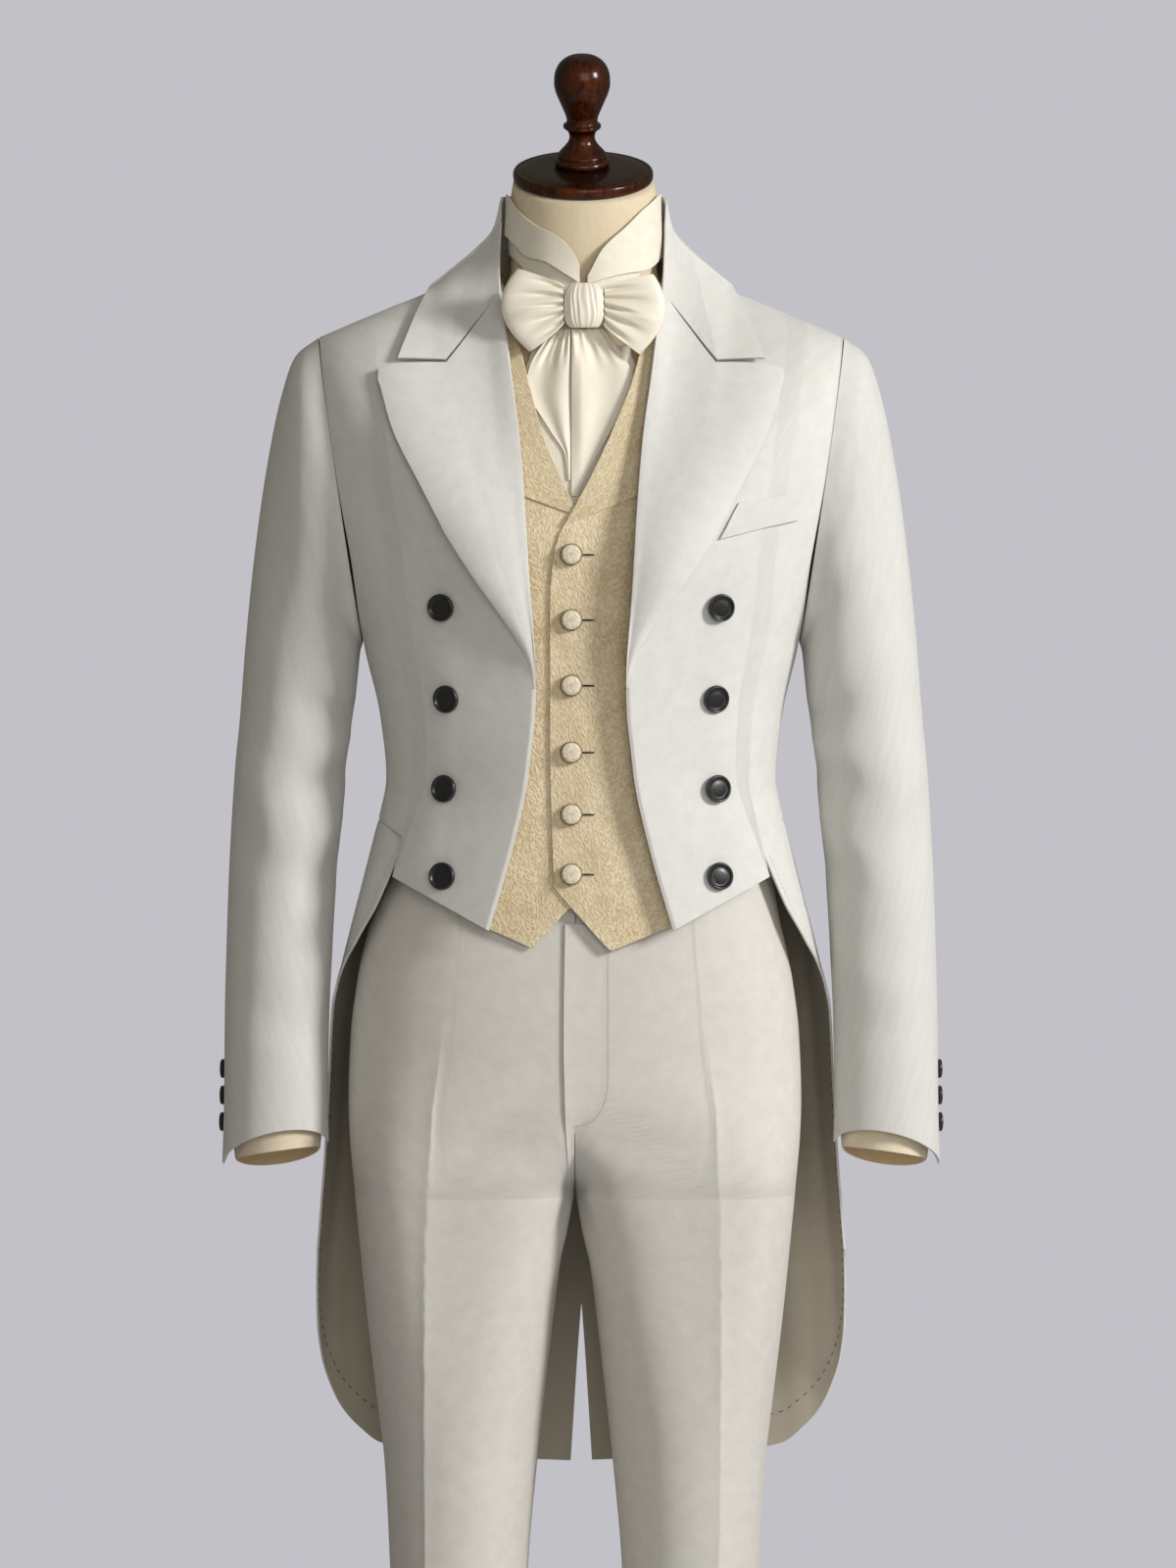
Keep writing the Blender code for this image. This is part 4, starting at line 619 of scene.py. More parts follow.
# The fly is a flap on the front: clear of the legs at its lapped edge, sinking into them towards its seam.
FLY_LOW, FLY_HIGH, FLY_WALL, FLY_LIFT, FLY_SUNK = 0.860, 1.072, 0.0011, 0.0026, 0.0002
# lapped edge and seam: height, distance from the middle
FLY_EDGE = np.array([
    (0.858, -0.0100), (0.8648, -0.0098), (0.9167, -0.0126), (0.9805, -0.0140), (1.072, -0.0128)])
FLY_SEAM = np.array([
    (0.858, -0.0075), (0.9000, -0.0062), (0.9100, 0.0005), (0.9160, 0.0085), (0.9240, 0.0160),
    (0.9370, 0.0218), (0.9520, 0.0242), (0.9700, 0.0248), (1.072, 0.0248)])
level = np.linspace(FLY_LOW, FLY_HIGH, 60)[:, None]
k = np.linspace(0.0, 1.0, 24)[None, :]
x = curve(FLY_EDGE, level) * (1 - k) + curve(FLY_SEAM, level) * k
lift = FLY_LIFT * (0.45 + 0.55 * ramp(0.900, 0.925, level)) * (1.0 - k) ** 1.6 - FLY_SUNK
grid = np.stack([x, leg_front(x, level) - lift, level + 0 * x], -1)
fly = wall("fly_flap", grid, normals(grid, BODY_MIDDLE), 0.0, FLY_WALL, trouser_wool)
dress(fly, grid, "trouser_wool", [])


def stitches(name, path, out, finish, slot, pitch=0.0028, long=0.0019, thick=0.00022):
    """Row of stitches along a path that lies on cloth: each is a rounded rod sunk halfway into the face."""
    walk = walked(path)
    place = np.arange(pitch / 2, walk[-1], pitch)
    centre, ahead = (np.stack([np.interp(place + step, walk, path[:, i]) for i in range(3)], -1)
                     for step in (0.0, pitch * 0.4))
    up = unit(np.stack([np.interp(place, walk, out[:, i]) for i in range(3)], -1))
    along = unit(ahead - centre)
    wide = np.cross(along, up)
    turn = full_turn(6)
    t = np.array([-1.0, -0.72, 0.72, 1.0])
    r = np.array([0.02, 1.0, 1.0, 0.02]) * thick
    dip = np.array([-0.9, 0.2, 0.2, -0.9]) * thick
    points = (centre[:, None, None] + along[:, None, None] * (t * long / 2)[None, :, None, None]
              + up[:, None, None] * (dip[:, None] + r[:, None] * np.sin(turn))[None, :, :, None]
              + wide[:, None, None] * (r[:, None] * np.cos(turn))[None, :, :, None])
    one = quads_of(4, 7, 6)
    quads = (one[None] + (np.arange(len(place)) * 24)[:, None, None]).reshape(-1, 4)
    fasten(put(name, points.reshape(-1, 3), quads, np.zeros((1, 2)), quads * 0, finish), slot)


pale_thread = speckled("pale_thread", 0.6, (0.36, 0.345, 0.30), (0.60, 0.58, 0.52), 1500.0,
                       Sheen_Weight=0.2)[0]
# the row's curve: place along it, distance from the middle, height
FLY_ROW = np.array([
    (0.0, 0.0222, 1.0700), (1.0, 0.0222, 0.9500), (1.2, 0.0205, 0.9340), (1.4, 0.0155, 0.9215),
    (1.6, 0.0070, 0.9135), (1.8, -0.0069, 0.9100)])
t = np.linspace(0.0, 1.8, 160)
x, level = curve(FLY_ROW, t), curve(FLY_ROW, t, 2)
path = np.stack([x, leg_front(x, level) - 0.0007, level], -1)
stitches("fly_stitches", path, np.tile((0.0, -1.0, 0.0), (160, 1)), pale_thread, "trouser_wool")

# ---- shirt ----
# Cream cotton: the front that shows in the waistcoat's opening, the standing band round the neck and
# the collar turned over it. The layers below the coat all follow its surface, each a little further in.
SIDE_Y, GAP, ROUND = 0.004, 0.0004, 2.5
ARM_MID, ARM_HIGH, ARM_DEEP = 1.4240, 0.1240, 0.070
ARM_LOW, SHIRT_WALL, SHIRT_DEPTH = ARM_MID - ARM_HIGH, 0.0012, -0.0138
# outer face of the coat: height, half width, depth in front, depth behind
BODY = np.array([
    (1.030, 0.1960, 0.118, 0.118), (1.070, 0.1880, 0.119, 0.114), (1.110, 0.1770, 0.119, 0.104),
    (1.157, 0.1650, 0.119, 0.092), (1.190, 0.1590, 0.120, 0.088), (1.240, 0.1640, 0.123, 0.092),
    (1.300, 0.1775, 0.127, 0.105), (1.360, 0.1850, 0.130, 0.116), (1.424, 0.1960, 0.130, 0.120),
    (1.499, 0.2070, 0.130, 0.120), (1.549, 0.2136, 0.130, 0.120)])
# shoulder line: distance from the middle, height
SHOULDER = np.array([
    (0.0000, 1.700), (0.0600, 1.650), (0.0750, 1.629), (0.0900, 1.613), (0.1064, 1.600),
    (0.1224, 1.5875), (0.1544, 1.574), (0.1864, 1.5605), (0.2136, 1.5488)])


def half_width(height):
    """Half the coat's width at a height."""
    return curve(BODY, height)


def chest_line(share, front):
    """Height where the upright chest ends and the shoulder begins."""
    return 1.370 + 0.054 * share ** 2 if front else np.full_like(share, ARM_MID)


def shoulder_top(share):
    """Height of the shoulder line at a share of the way from the middle to its end."""
    return curve(SHOULDER, share * SHOULDER[-1, 0])


def body_y(x, height, front=True):
    """Depth of the coat's outer face: rounded sections as deep as the table says, narrowed so that their
    ends meet the oval armhole, and drawn back to the shoulder line along a rounded rise."""
    share = np.minimum(np.abs(x) / half_width(height), 1.0)
    middle = chest_line(share, front)
    low = np.minimum(height, middle)
    span = curve(BODY, low, 2) + SIDE_Y if front else curve(BODY, low, 3) - SIDE_Y
    lift = np.clip((low - ARM_MID) / ARM_HIGH, -1.0, 1.0)
    arm = np.where(low > ARM_LOW, ARM_DEEP * np.sqrt(1.0 - lift ** 2), 0.0)
    wide = (1.0 - (arm / span) ** ROUND) ** (1.0 / ROUND)
    depth = span * (1.0 - (share * wide) ** ROUND) ** (1.0 / ROUND)
    rise = np.clip((height - middle) / (shoulder_top(share) - middle), 0.0, 1.0)
    side = ramp(0.3, 1.0, share)
    power = (1.35 if front else 1.60) * (1.0 - side) + 2.0 * side
    root = (0.95 if front else 0.80) * (1.0 - side) + 0.5 * side
    depth = depth * (1.0 - rise ** power) ** root
    return SIDE_Y - GAP / 2 - depth if front else SIDE_Y + GAP / 2 + depth


def on_body(x, height, front=True):
    """Point on the coat's outer face."""
    return np.stack([x, body_y(x, height, front), height + 0.0 * x], axis=-1)


def body_normal(x, height, front=True):
    """Unit direction out of the coat's surface, from its slopes across and up."""
    step = 0.003
    across = (body_y(x + step, height, front) - body_y(x - step, height, front)) / (2 * step)
    up = (body_y(x, height + step, front) - body_y(x, height - step, front)) / (2 * step)
    sign = -1.0 if front else 1.0
    return unit(np.stack([-across * sign, np.full_like(across, sign), -up * sign], axis=-1))


def neck_y(x):
    """Depth of the front of the form's neck, a circle; beyond most of its radius it stays level."""
    reach = np.minimum(np.abs(x - NECK_X), NECK_R * 0.8)
    return NECK_Y - np.sqrt(NECK_R ** 2 - reach ** 2)


def shirt_surface(x, height, depth):
    """The coat's surface moved in by depth, but never inside the form's neck."""
    steep = np.minimum(1.0 / np.abs(body_normal(x, height)[..., 1]), 1.6)
    y = body_y(x, height) - depth * steep
    return np.minimum(y, neck_y(x) - (SHIRT_WALL + 0.0036) - (depth - SHIRT_DEPTH) * 0.8)


shirt_cotton = woven("shirt_cotton", (0.80, 0.745, 0.62), (0.90, 0.85, 0.735), 0.72, 2400.0, 0.00006,
                     Sheen_Weight=0.1)
cuff_cotton = woven("cuff_cotton", (0.72, 0.61, 0.43), (0.86, 0.76, 0.575), 0.72, 2400.0, 0.00006,
                    Sheen_Weight=0.1)
BOSOM_LOW, BOSOM_HIGH, BOSOM_HALF = 1.20, 1.538, 0.072
level = np.linspace(BOSOM_LOW, BOSOM_HIGH, 60)[:, None]
x = np.linspace(-BOSOM_HALF, BOSOM_HALF, 50)[None, :] * (1.0 - 0.45 * ramp(1.46, 1.54, level))
grid = np.stack([x, shirt_surface(x, level + 0 * x, SHIRT_DEPTH), level + 0 * x], -1)
bosom = wall("shirt_front_cloth", grid, normals(grid, BODY_MIDDLE), 0.0, SHIRT_WALL, shirt_cotton)
dress(bosom, grid, "shirt_cotton", ["shirt_front"])

# lower and upper edges of the neckband and of the turned collar: reach from the middle, height
BAND_FOOT = np.array([
    (0.0, 1.541), (0.020, 1.550), (0.030, 1.570), (0.040, 1.590), (0.048, 1.603), (0.061, 1.618)])
BAND_TOP = np.array([
    (0.0, 1.584), (0.005, 1.597), (0.015, 1.614), (0.030, 1.627), (0.044, 1.640), (0.061, 1.661)])
FALL_FOOT_LEFT = np.array([
    (0.0, 1.586), (0.020, 1.593), (0.036, 1.5973), (0.044, 1.599), (0.053, 1.604), (0.061, 1.6150)])
FALL_FOOT_RIGHT = np.array([
    (0.0, 1.586), (0.013, 1.5948), (0.021, 1.6003), (0.029, 1.6059), (0.043, 1.6106), (0.051, 1.6197),
    (0.061, 1.6320)])
FALL_TOP_LEFT = np.array([
    (0.0, 1.5900), (0.0035, 1.5945), (0.0075, 1.6025), (0.0125, 1.6125), (0.0180, 1.6200), (0.0240, 1.6260),
    (0.0310, 1.6325), (0.0380, 1.6400), (0.0450, 1.6480), (0.0530, 1.6560), (0.061, 1.6660)])
FALL_TOP_RIGHT = np.array([
    (0.0, 1.5900), (0.0035, 1.6040), (0.0070, 1.6115), (0.0124, 1.6187), (0.0180, 1.6245), (0.0244, 1.6290),
    (0.0320, 1.6328), (0.0390, 1.6372), (0.0450, 1.6425), (0.0530, 1.6520), (0.061, 1.6660)])
BACK_FOOT, COLLAR_ROWS = 1.639, 14
turn = np.linspace(0.05, 2.0 * np.pi - 0.05, 161)
from_front = np.minimum(turn, 2.0 * np.pi - turn)
behind = ramp(1.58, 1.82, from_front)
out = np.repeat(np.stack([np.sin(turn), -np.cos(turn), turn * 0.0], -1)[None], COLLAR_ROWS, axis=0)
t = np.linspace(0.0, 1.0, COLLAR_ROWS)[:, None]
for name, node, off, left, right, flare in (
        ("neckband_cloth", "shirt_neckband", 0.0006, (BAND_FOOT, BAND_TOP), (BAND_FOOT, BAND_TOP), 0.0),
        ("collar_fall_cloth", "shirt_collar", 0.0022, (FALL_FOOT_LEFT, FALL_TOP_LEFT),
         (FALL_FOOT_RIGHT, FALL_TOP_RIGHT), 0.0016)):
    radius = NECK_R + off + SHIRT_WALL
    reach = radius * np.sin(np.minimum(from_front, np.pi / 2))
    low, high = (np.where(turn < np.pi, curve(left[i], reach), curve(right[i], reach)) for i in (0, 1))
    level = (low * (1 - behind) + BACK_FOOT * behind) * (1 - t) + high * t
    away = radius + flare * (1.0 - t) ** 2
    grid = np.stack([NECK_X + (away + NECK_WIDER) * np.sin(turn), NECK_Y - away * np.cos(turn), level], -1)
    piece = wall(name, grid, out, 0.0, SHIRT_WALL, shirt_cotton)
    dress(piece, grid, "shirt_cotton", [node])

# ---- waistcoat ----
# Pale gold crinkled cloth: the wearer's left front laps over the right and closes with six covered
# buttons; narrow turned lapels edge the V, and the fronts end in two points.
VEST_OVER, VEST_UNDER, VEST_WALL = -0.0063, -0.0087, 0.0015
SETTLING_ROUNDS = 14
# front edge of each waistcoat front: height, distance from the middle towards its own side
VEST_EDGE = {
    1: np.array([
        (1.1019, -0.0218), (1.2153, -0.0249), (1.3245, -0.0249), (1.3769, -0.0202), (1.3902, -0.0139),
        (1.4350, 0.0100), (1.4700, 0.0260), (1.5080, 0.0412), (1.5600, 0.0560), (1.6300, 0.0820)]),
    -1: np.array([
        (1.1019, -0.0150), (1.3245, -0.0150), (1.3900, -0.0040), (1.4122, 0.0077), (1.4600, 0.0290),
        (1.5085, 0.0431), (1.5600, 0.0570), (1.6300, 0.0820)])}
VEST_SIDE_X = 0.1700
# its lower edge: distance from the middle, height
VEST_FOOT = {
    1: np.array([
        (-0.0218, 1.1019), (0.0189, 1.0503), (0.0689, 1.0722), (0.1100, 1.0980), (VEST_SIDE_X, 1.1620)]),
    -1: np.array([
        (-0.0150, 1.1000), (0.0100, 1.0823), (0.0335, 1.0526), (0.0734, 1.0714), (0.1100, 1.0980),
        (VEST_SIDE_X, 1.1620)])}


def body_grid(shares, inner, outer, foot, top_rise, low_rows, high_rows, front=True, foot_share=None):
    """Grid of a panel: columns at shares of the way between its two edges, rows from its foot to the
    shoulder; foot_share gives the columns another place along the lower edge."""
    k = np.asarray(shares)[None, :]
    low = np.linspace(0.0, 1.0, low_rows + 1)[:, None]
    turn = np.linspace(0.0, 1.0, high_rows + 1)[1:, None]
    share = np.repeat(k, low_rows + high_rows + 1, axis=0)
    # a row's height depends on its share and the share on the height, so both are found in rounds
    for _ in range(SETTLING_ROUNDS):
        middle, top = chest_line(share, front), shoulder_top(share)
        start = np.broadcast_to(foot(k), share[:low_rows + 1].shape)
        lower = start + (middle[:low_rows + 1] - start) * low
        rise = np.sin(turn * np.arcsin(np.clip(top_rise(share[low_rows + 1:]), 0.0, 1.0)))
        upper = middle[low_rows + 1:] + (top - middle)[low_rows + 1:] * rise
        height = np.concatenate([lower, upper])
        share = inner(height) + (outer(height) - inner(height)) * k
        if foot_share is not None:
            pull = np.concatenate([np.clip(1.0 - low / 0.28, 0.0, 1.0), turn * 0.0])
            aim = foot_share(k) + (inner(height[:, :1]) - foot_share(k[:, :1])) * (1.0 - k)
            share = share * (1.0 - pull) + aim * pull
    return on_body(share * half_width(height), height, front)


def mirrored(grid, side):
    """The same points or directions, on the right for a side of -1."""
    return grid * (side, 1.0, 1.0)


def patch(left, right, bottom, top):
    """Coons surface between four edges, given as arrays of points."""
    v = np.linspace(0.0, 1.0, len(left))[:, None, None]
    k = np.linspace(0.0, 1.0, len(bottom))[None, :, None]
    ruled = (1 - v) * bottom[None] + v * top[None] + (1 - k) * left[:, None] + k * right[:, None]
    corner = (1 - v) * ((1 - k) * bottom[0] + k * bottom[-1]) + v * ((1 - k) * top[0] + k * top[-1])
    return ruled - corner


def vest_armhole(height):
    """Share of the coat's half width where the waistcoat's armhole edge lies."""
    return 1.0 - 0.14 * ramp(1.27, 1.36, height)


def crinkled(name, dark, light, painted_rim_shade=0.0):
    """Crinkled cloth: closely set puffs, with painted shade that makes the colour darker between them than on
    top, and random tone; the last argument paints shade that darkens the colour where the surface turns away
    from the view.
    """
    made, tree, shader = new_finish(name, 0.62, Sheen_Weight=0.15)
    flat = cut_place(tree)
    pucker = add_node(tree, "ShaderNodeTexVoronoi", {"Vector": flat, "Scale": 480.0, "Randomness": 1.0},
                      feature="SMOOTH_F1")
    height = maths(tree, "ADD", pucker.outputs["Distance"], noise(tree, flat, 900.0, 3.0, 0.2))
    # painted shade: the puffs' height, which also drives the bump, darkens the colour between them; the broad
    # noise adds random tone
    both = maths(tree, "ADD", height, noise(tree, flat, 26.0, 4.0))
    share = maths(tree, "MULTIPLY_ADD", both, 1.1, -1.05, clamp=True)
    # painted shade: a facing term darkens the colour towards brown where the surface turns away from the
    # view, drawing a dark ring round each covered button
    if painted_rim_shade:
        facing = add_node(tree, "ShaderNodeLayerWeight", {"Blend": painted_rim_shade}).outputs["Facing"]
        tint(tree, shader, maths(tree, "POWER", facing, 2.0), blend_colour(tree, share, dark, light),
             (0.10, 0.055, 0.02))
    else:
        tint(tree, shader, share, dark, light)
    bump(tree, shader, height, 0.0007, 0.9)
    return made


vest_cloth = crinkled("vest_cloth", (0.58, 0.435, 0.225), (0.90, 0.785, 0.565))
# painted light: the covered buttons and the buttonhole lips get a lighter copy of the waistcoat cloth,
# standing in for the light their domes catch, with painted rim shade
vest_button_cloth = crinkled("vest_button_cloth", (0.74, 0.61, 0.40), (0.95, 0.88, 0.72), 0.82)

VEST_SHARES = finer([0, 0.13, 0.22, 0.3, 0.38, 0.5, 0.64, 0.79, 0.91, 0.98, 1.0], 6)
VEST_LAPEL_WALL, VEST_LAPEL_LIFT = 0.0011, 0.0018
# a waistcoat lapel: heights between which it follows the front edge, and the ends of its outer edge
VEST_LAPEL_INSIDE = {1: (1.3905, 1.545), -1: (1.3980, 1.545)}
VEST_LAPEL_OUTSIDE = (0.0500, 1.4170), (0.0720, 1.5600)
for side, word, depth in ((1, "left", VEST_OVER), (-1, "right", VEST_UNDER)):
    edge, lower, inmost = VEST_EDGE[side], VEST_FOOT[side], VEST_EDGE[side][0, 1]
    grid = body_grid(VEST_SHARES, lambda h: curve(edge, h) / half_width(h), vest_armhole,
                     lambda k: straight(lower, inmost + (VEST_SIDE_X - inmost) * k), np.ones_like, 50, 36)
    out = square_off(normals(grid, BODY_MIDDLE), ("last_row", 1), ("last_col", 1))
    piece = wall("vest_front_cloth_" + word, mirrored(grid, side), mirrored(out, side), depth, VEST_WALL,
                 vest_cloth)
    dress(piece, grid, "vest_cloth", ["vest_front_" + word])
    heights = np.linspace(*VEST_LAPEL_INSIDE[side], 60)
    inside, outside = np.stack([curve(edge, heights), heights], -1), np.linspace(*VEST_LAPEL_OUTSIDE, 60)
    bottom, top = (np.linspace(inside[i], outside[i], 22) for i in (0, -1))
    x, level = np.moveaxis(patch(inside, outside, bottom, top), -1, 0)
    grid = mirrored(on_body(x, level), side)
    piece = wall("vest_lapel_cloth_" + word, grid, mirrored(body_normal(x, level), side),
                 depth + VEST_LAPEL_LIFT, VEST_LAPEL_WALL, vest_cloth)
    dress(piece, grid, "vest_cloth", ["vest_lapel_" + word])

half = finer([0, 0.24, 0.46, 0.66, 0.83, 0.95, 1.0], 5)
grid = body_grid(half, np.zeros_like, vest_armhole, lambda k: np.full_like(k, VEST_FOOT[1][-1, 1]),
                 lambda share: np.minimum(1.0, 0.66 + 0.34 * (share / 0.36) ** 2), 24, 24, False)
grid = np.concatenate([mirrored(grid, -1)[:, :0:-1], grid], axis=1)
out = square_off(normals(grid, BODY_MIDDLE), ("last_row", 1), ("last_col", 1), ("first_col", 1))
piece = wall("vest_back_cloth", grid, out, VEST_OVER - 0.0010, VEST_WALL, vest_cloth)
dress(piece, grid, "vest_cloth", ["vest_back"])

# covered buttons, each with a bound buttonhole beside it: a dark slit with a lip of cloth round it
VEST_BUTTON_R, VEST_BUTTON_X, VEST_BUTTON_SUNK = 0.0088, -0.0077, 0.0006
VEST_BUTTON_LEVELS = (1.3667, 1.3144, 1.2622, 1.2090, 1.1597, 1.1120)
HOLE_ASIDE, HOLE_BELOW, HOLE_POINTS = 0.0126, 0.0004, 48
slit_shade = speckled("slit_shade", 0.9, (0.03, 0.018, 0.008), (0.10, 0.065, 0.030), 2500.0)[0]
dome = rounded([(0.0, 0.0), (0.74, 0.0), (0.95, 0.0006), (1.0, 0.0016), (0.98, 0.0029), (0.92, 0.0043),
                (0.82, 0.0053), (0.50, 0.0062), (0.0, 0.0065)], 4) * (VEST_BUTTON_R, 1.0)


def buttonhole_rim(name, level, long, wide, thick, lift, finish):
    """Cord laid round a buttonhole in a loop with round ends; long and wide are its half length and width."""
    around, turn = full_turn(HOLE_POINTS), full_turn(8)[:, None]
    c, s = np.cos(around), np.sin(around)
    x = VEST_BUTTON_X + HOLE_ASIDE + (long - wide) * np.clip(c * 1.3, -1, 1) + wide * c
    z = level - HOLE_BELOW + wide * s * np.minimum(1.0, 1.6 * np.abs(s) ** 0.4)
    up = body_normal(x, z)
    line = on_body(x, z) + up * (VEST_OVER + lift)
    aside = np.cross(unit(np.roll(line, -1, 0) - np.roll(line, 1, 0)), up)
    cord = line[:, None] + thick * (aside[:, None] * np.cos(turn) + up[:, None] * np.sin(turn))
    quads = quads_of(HOLE_POINTS + 1, 9, 8) % (HOLE_POINTS * 8)
    fasten(put(name, cord.reshape(-1, 3), quads, np.zeros((1, 2)), quads * 0, finish), "vest_cloth")


for count, level in enumerate(VEST_BUTTON_LEVELS, 1):
    at = np.array(VEST_BUTTON_X), np.array(level)
    out = body_normal(*at)
    centre = on_body(*at) + out * (VEST_OVER + VEST_BUTTON_SUNK)
    button = turned("vest_button_covered_%d" % count, dome, vest_button_cloth, centre, out, 40)
    fasten(button, "vest_cloth", "vest_button_%d" % count)
    for kind, size, finish in (("slit", (0.0056, 0.00035, 0.00045, 0.0004), slit_shade),
                               ("bind", (0.0060, 0.0012, 0.0004, 0.0001), vest_button_cloth)):
        buttonhole_rim("vest_buttonhole_%s_%d" % (kind, count), level, *size, finish)

# ---- bow ----
# Ivory satin, tied: a pleated knot, two loops gathered into it, and two hanging ends that spread below
# it and are drawn to points.
BOW_X, BOW_Y, SATIN_WALL, TAILS_DEPTH = 0.0024, -0.0728, 0.0012, -0.0114
KNOT_LEVEL, KNOT_REACH, KNOT_WIDE, KNOT_DEEP, KNOT_HIGH = 1.5690, 0.0166, 0.0163, 0.0094, 0.0178
# loop: reach at its middle, how much less at its ends, lean; height of its middle, half height
LOOPS = {1: (0.0646, 0.0142, 0.0055, 1.5618, 0.0323), -1: (0.0663, 0.0176, 0.0048, 1.5653, 0.0334)}
# folds of a loop: place between its lower edge at -1 and its upper at 1, slant, half width, rise inward
LOOP_FOLDS = ((0.10, 0.35, 0.13, -0.0022), (0.42, 0.10, 0.15, 0.0016), (-0.45, 0.20, 0.14, 0.0018))
bow_satin, tree, shader = new_finish("bow_satin", 0.40, Sheen_Weight=0.35, Sheen_Roughness=0.4)
flat = cut_place(tree)
threads = noise(tree, drawn_out(tree, flat, (3200.0, 240.0, 1.0)), 1.0)
both = maths(tree, "ADD", threads, noise(tree, flat, 40.0, 3.0))
share = maths(tree, "MULTIPLY_ADD", both, 1.2, -0.7, clamp=True)
tint(tree, shader, share, (0.80, 0.735, 0.60), (0.90, 0.855, 0.745))
bump(tree, shader, threads, 0.00005, 0.5)

turn, place = full_turn(192), np.linspace(-1.0, 1.0, 41)[:, None]
size = np.sqrt(np.maximum(1.0 - 0.58 * np.abs(place) ** 3.2, 0.0)) * (1.0 - 0.02 * place)
uneven = 1.6 * place + 0.9 * np.sin(3.0 * turn) + 0.5 * np.sin(4.0 * place)
pleat = 1.0 + 0.026 * np.sin(turn * 25.0 + uneven) + 0.020 * np.sin(turn * 11.0 - 1.1 * place)
x = BOW_X + KNOT_WIDE * size * bent(np.cos(turn), 0.78) * pleat
y = BOW_Y + KNOT_DEEP * size * bent(np.sin(turn), 0.78) * pleat
rings = capped(np.stack([x, y, KNOT_LEVEL + KNOT_HIGH * place + 0.0 * x], -1), 0.7)
flat = np.stack(np.meshgrid(np.arange(193) * 0.00045, np.linspace(0, 0.05, len(rings))), -1)
fasten(put_rings("bow_knot_satin", rings, flat, bow_satin), "bow_satin", "bow_knot")

turn = np.linspace(0.0, np.pi, 72)[None, :]
b = np.linspace(-1.0, 1.0, 64)[:, None]
reach, front = np.sin(turn), np.cos(turn)
gather = np.exp(-(reach / 0.50) ** 2) * (1.0 - reach ** 3)
for side, word in SIDES:
    far, less, lean, middle, high = LOOPS[side]
    x = KNOT_REACH + (far - less * b ** 2 + lean * b - KNOT_REACH) * reach
    inner = KNOT_LEVEL + 0.0150 * b
    z = inner + (middle + high * b - inner) * reach ** 0.8
    wave = 1.0 - 2.4 * np.abs(np.cos(2.4 * np.pi * b + 0.35 * side + 0.6 * reach)) ** 5
    y = BOW_Y - 0.0105 * front * (0.30 + 0.70 * reach) * (1.0 - 0.25 * b ** 2)
    y = y - 0.0029 * gather * front * wave * (1.0 - 0.3 * b ** 2)
    for spot, slant, wide, rise in LOOP_FOLDS:
        y = y + rise * front * np.exp(-((b - spot + slant * reach) / wide) ** 2) * np.sin(np.pi * reach)
    grid = np.stack([BOW_X + x * side, y + 0 * x, z], -1)
    out = normals(grid, (BOW_X + 0.035 * side, BOW_Y, 1.566))
    piece = wall("bow_loop_satin_" + word, grid, out, 0.0, SATIN_WALL, bow_satin, round_edge=0.0004)
    dress(piece, grid, "bow_satin", ["bow_loop_" + word])

# outer and inner edge of each hanging end: height, distance from the middle towards its own side
TAIL_OUTLINE = {
    1: np.array([
        (1.4140, -0.0035), (1.4400, 0.0090), (1.4750, 0.0285), (1.4850, 0.0345), (1.4973, 0.0398),
        (1.5083, 0.0422), (1.5165, 0.0408), (1.5302, 0.0325), (1.5502, 0.0180)]),
    -1: np.array([
        (1.4270, 0.0100), (1.4473, 0.0126), (1.4650, 0.0231), (1.4878, 0.0375), (1.4946, 0.0417),
        (1.5028, 0.0446), (1.5192, 0.0416), (1.5439, 0.0265), (1.5502, 0.0205)])}
TAIL_INNER = {
    1: np.array([(1.4140, -0.0075), (1.5502, -0.0078)]),
    -1: np.array([(1.4270, 0.0086), (1.5502, 0.0086)])}
k = np.linspace(0.0, 1.0, 40)[None, :]
for side, word in SIDES:
    outline = TAIL_OUTLINE[side]
    level = np.linspace(outline[0, 0], outline[-1, 0], 70)[:, None]
    x = (curve(TAIL_INNER[side], level) * (1 - k) + curve(outline, level) * k) * side
    wave = np.sin(k * 2.4 * np.pi + 0.5 * side + 1.2 * (level - 1.50) / 0.05) * (1.0 - 0.4 * k)
    y = shirt_surface(x, level + 0 * k, TAILS_DEPTH) + 0.0002 - 0.0042 * ramp(1.515, 1.549, level)
    y = y - 0.0022 * ramp(1.42, 1.50, level) * wave
    y = y - 0.0013 * ramp(1.512, 1.547, level) * np.sin(k * 8.0 * np.pi)
    grid = np.stack([x, y, level + 0 * k], -1)
    piece = wall("bow_tail_satin_" + word, grid, normals(grid, BODY_MIDDLE), 0.0, SATIN_WALL, bow_satin,
                 round_edge=0.0004)
    dress(piece, grid, "bow_satin", ["bow_tail_" + word])

# ---- coat body ----
# Ivory wool over canvas: fronts and backs meet at the side and shoulder seams in one upright plane,
# each front ends in a point, and the tails hang from the waist seam with a vent between them.
COAT_WALL, WAIST_SEAM = 0.0020, 1.1570
# front edge: height, distance from the middle
COAT_EDGE = np.array([
    (1.0672, 0.0738), (1.1330, 0.0547), (1.1840, 0.0432), (1.2100, 0.0400), (1.2400, 0.0368),
    (1.2660, 0.0360), (1.3400, 0.0405), (1.4100, 0.0449), (1.4600, 0.0490), (1.5100, 0.0555),
    (1.5804, 0.0643), (1.6300, 0.0780)])
# lower edge of a front: share of the way along it, distance from the middle, height
COAT_FOOT = np.array([
    (0.00, 0.0738, 1.0672), (0.35, 0.1130, 1.0885), (0.70, 0.1518, 1.1095), (0.80, 0.1440, 1.1421),
    (1.00, 0.1650, 1.1570)])
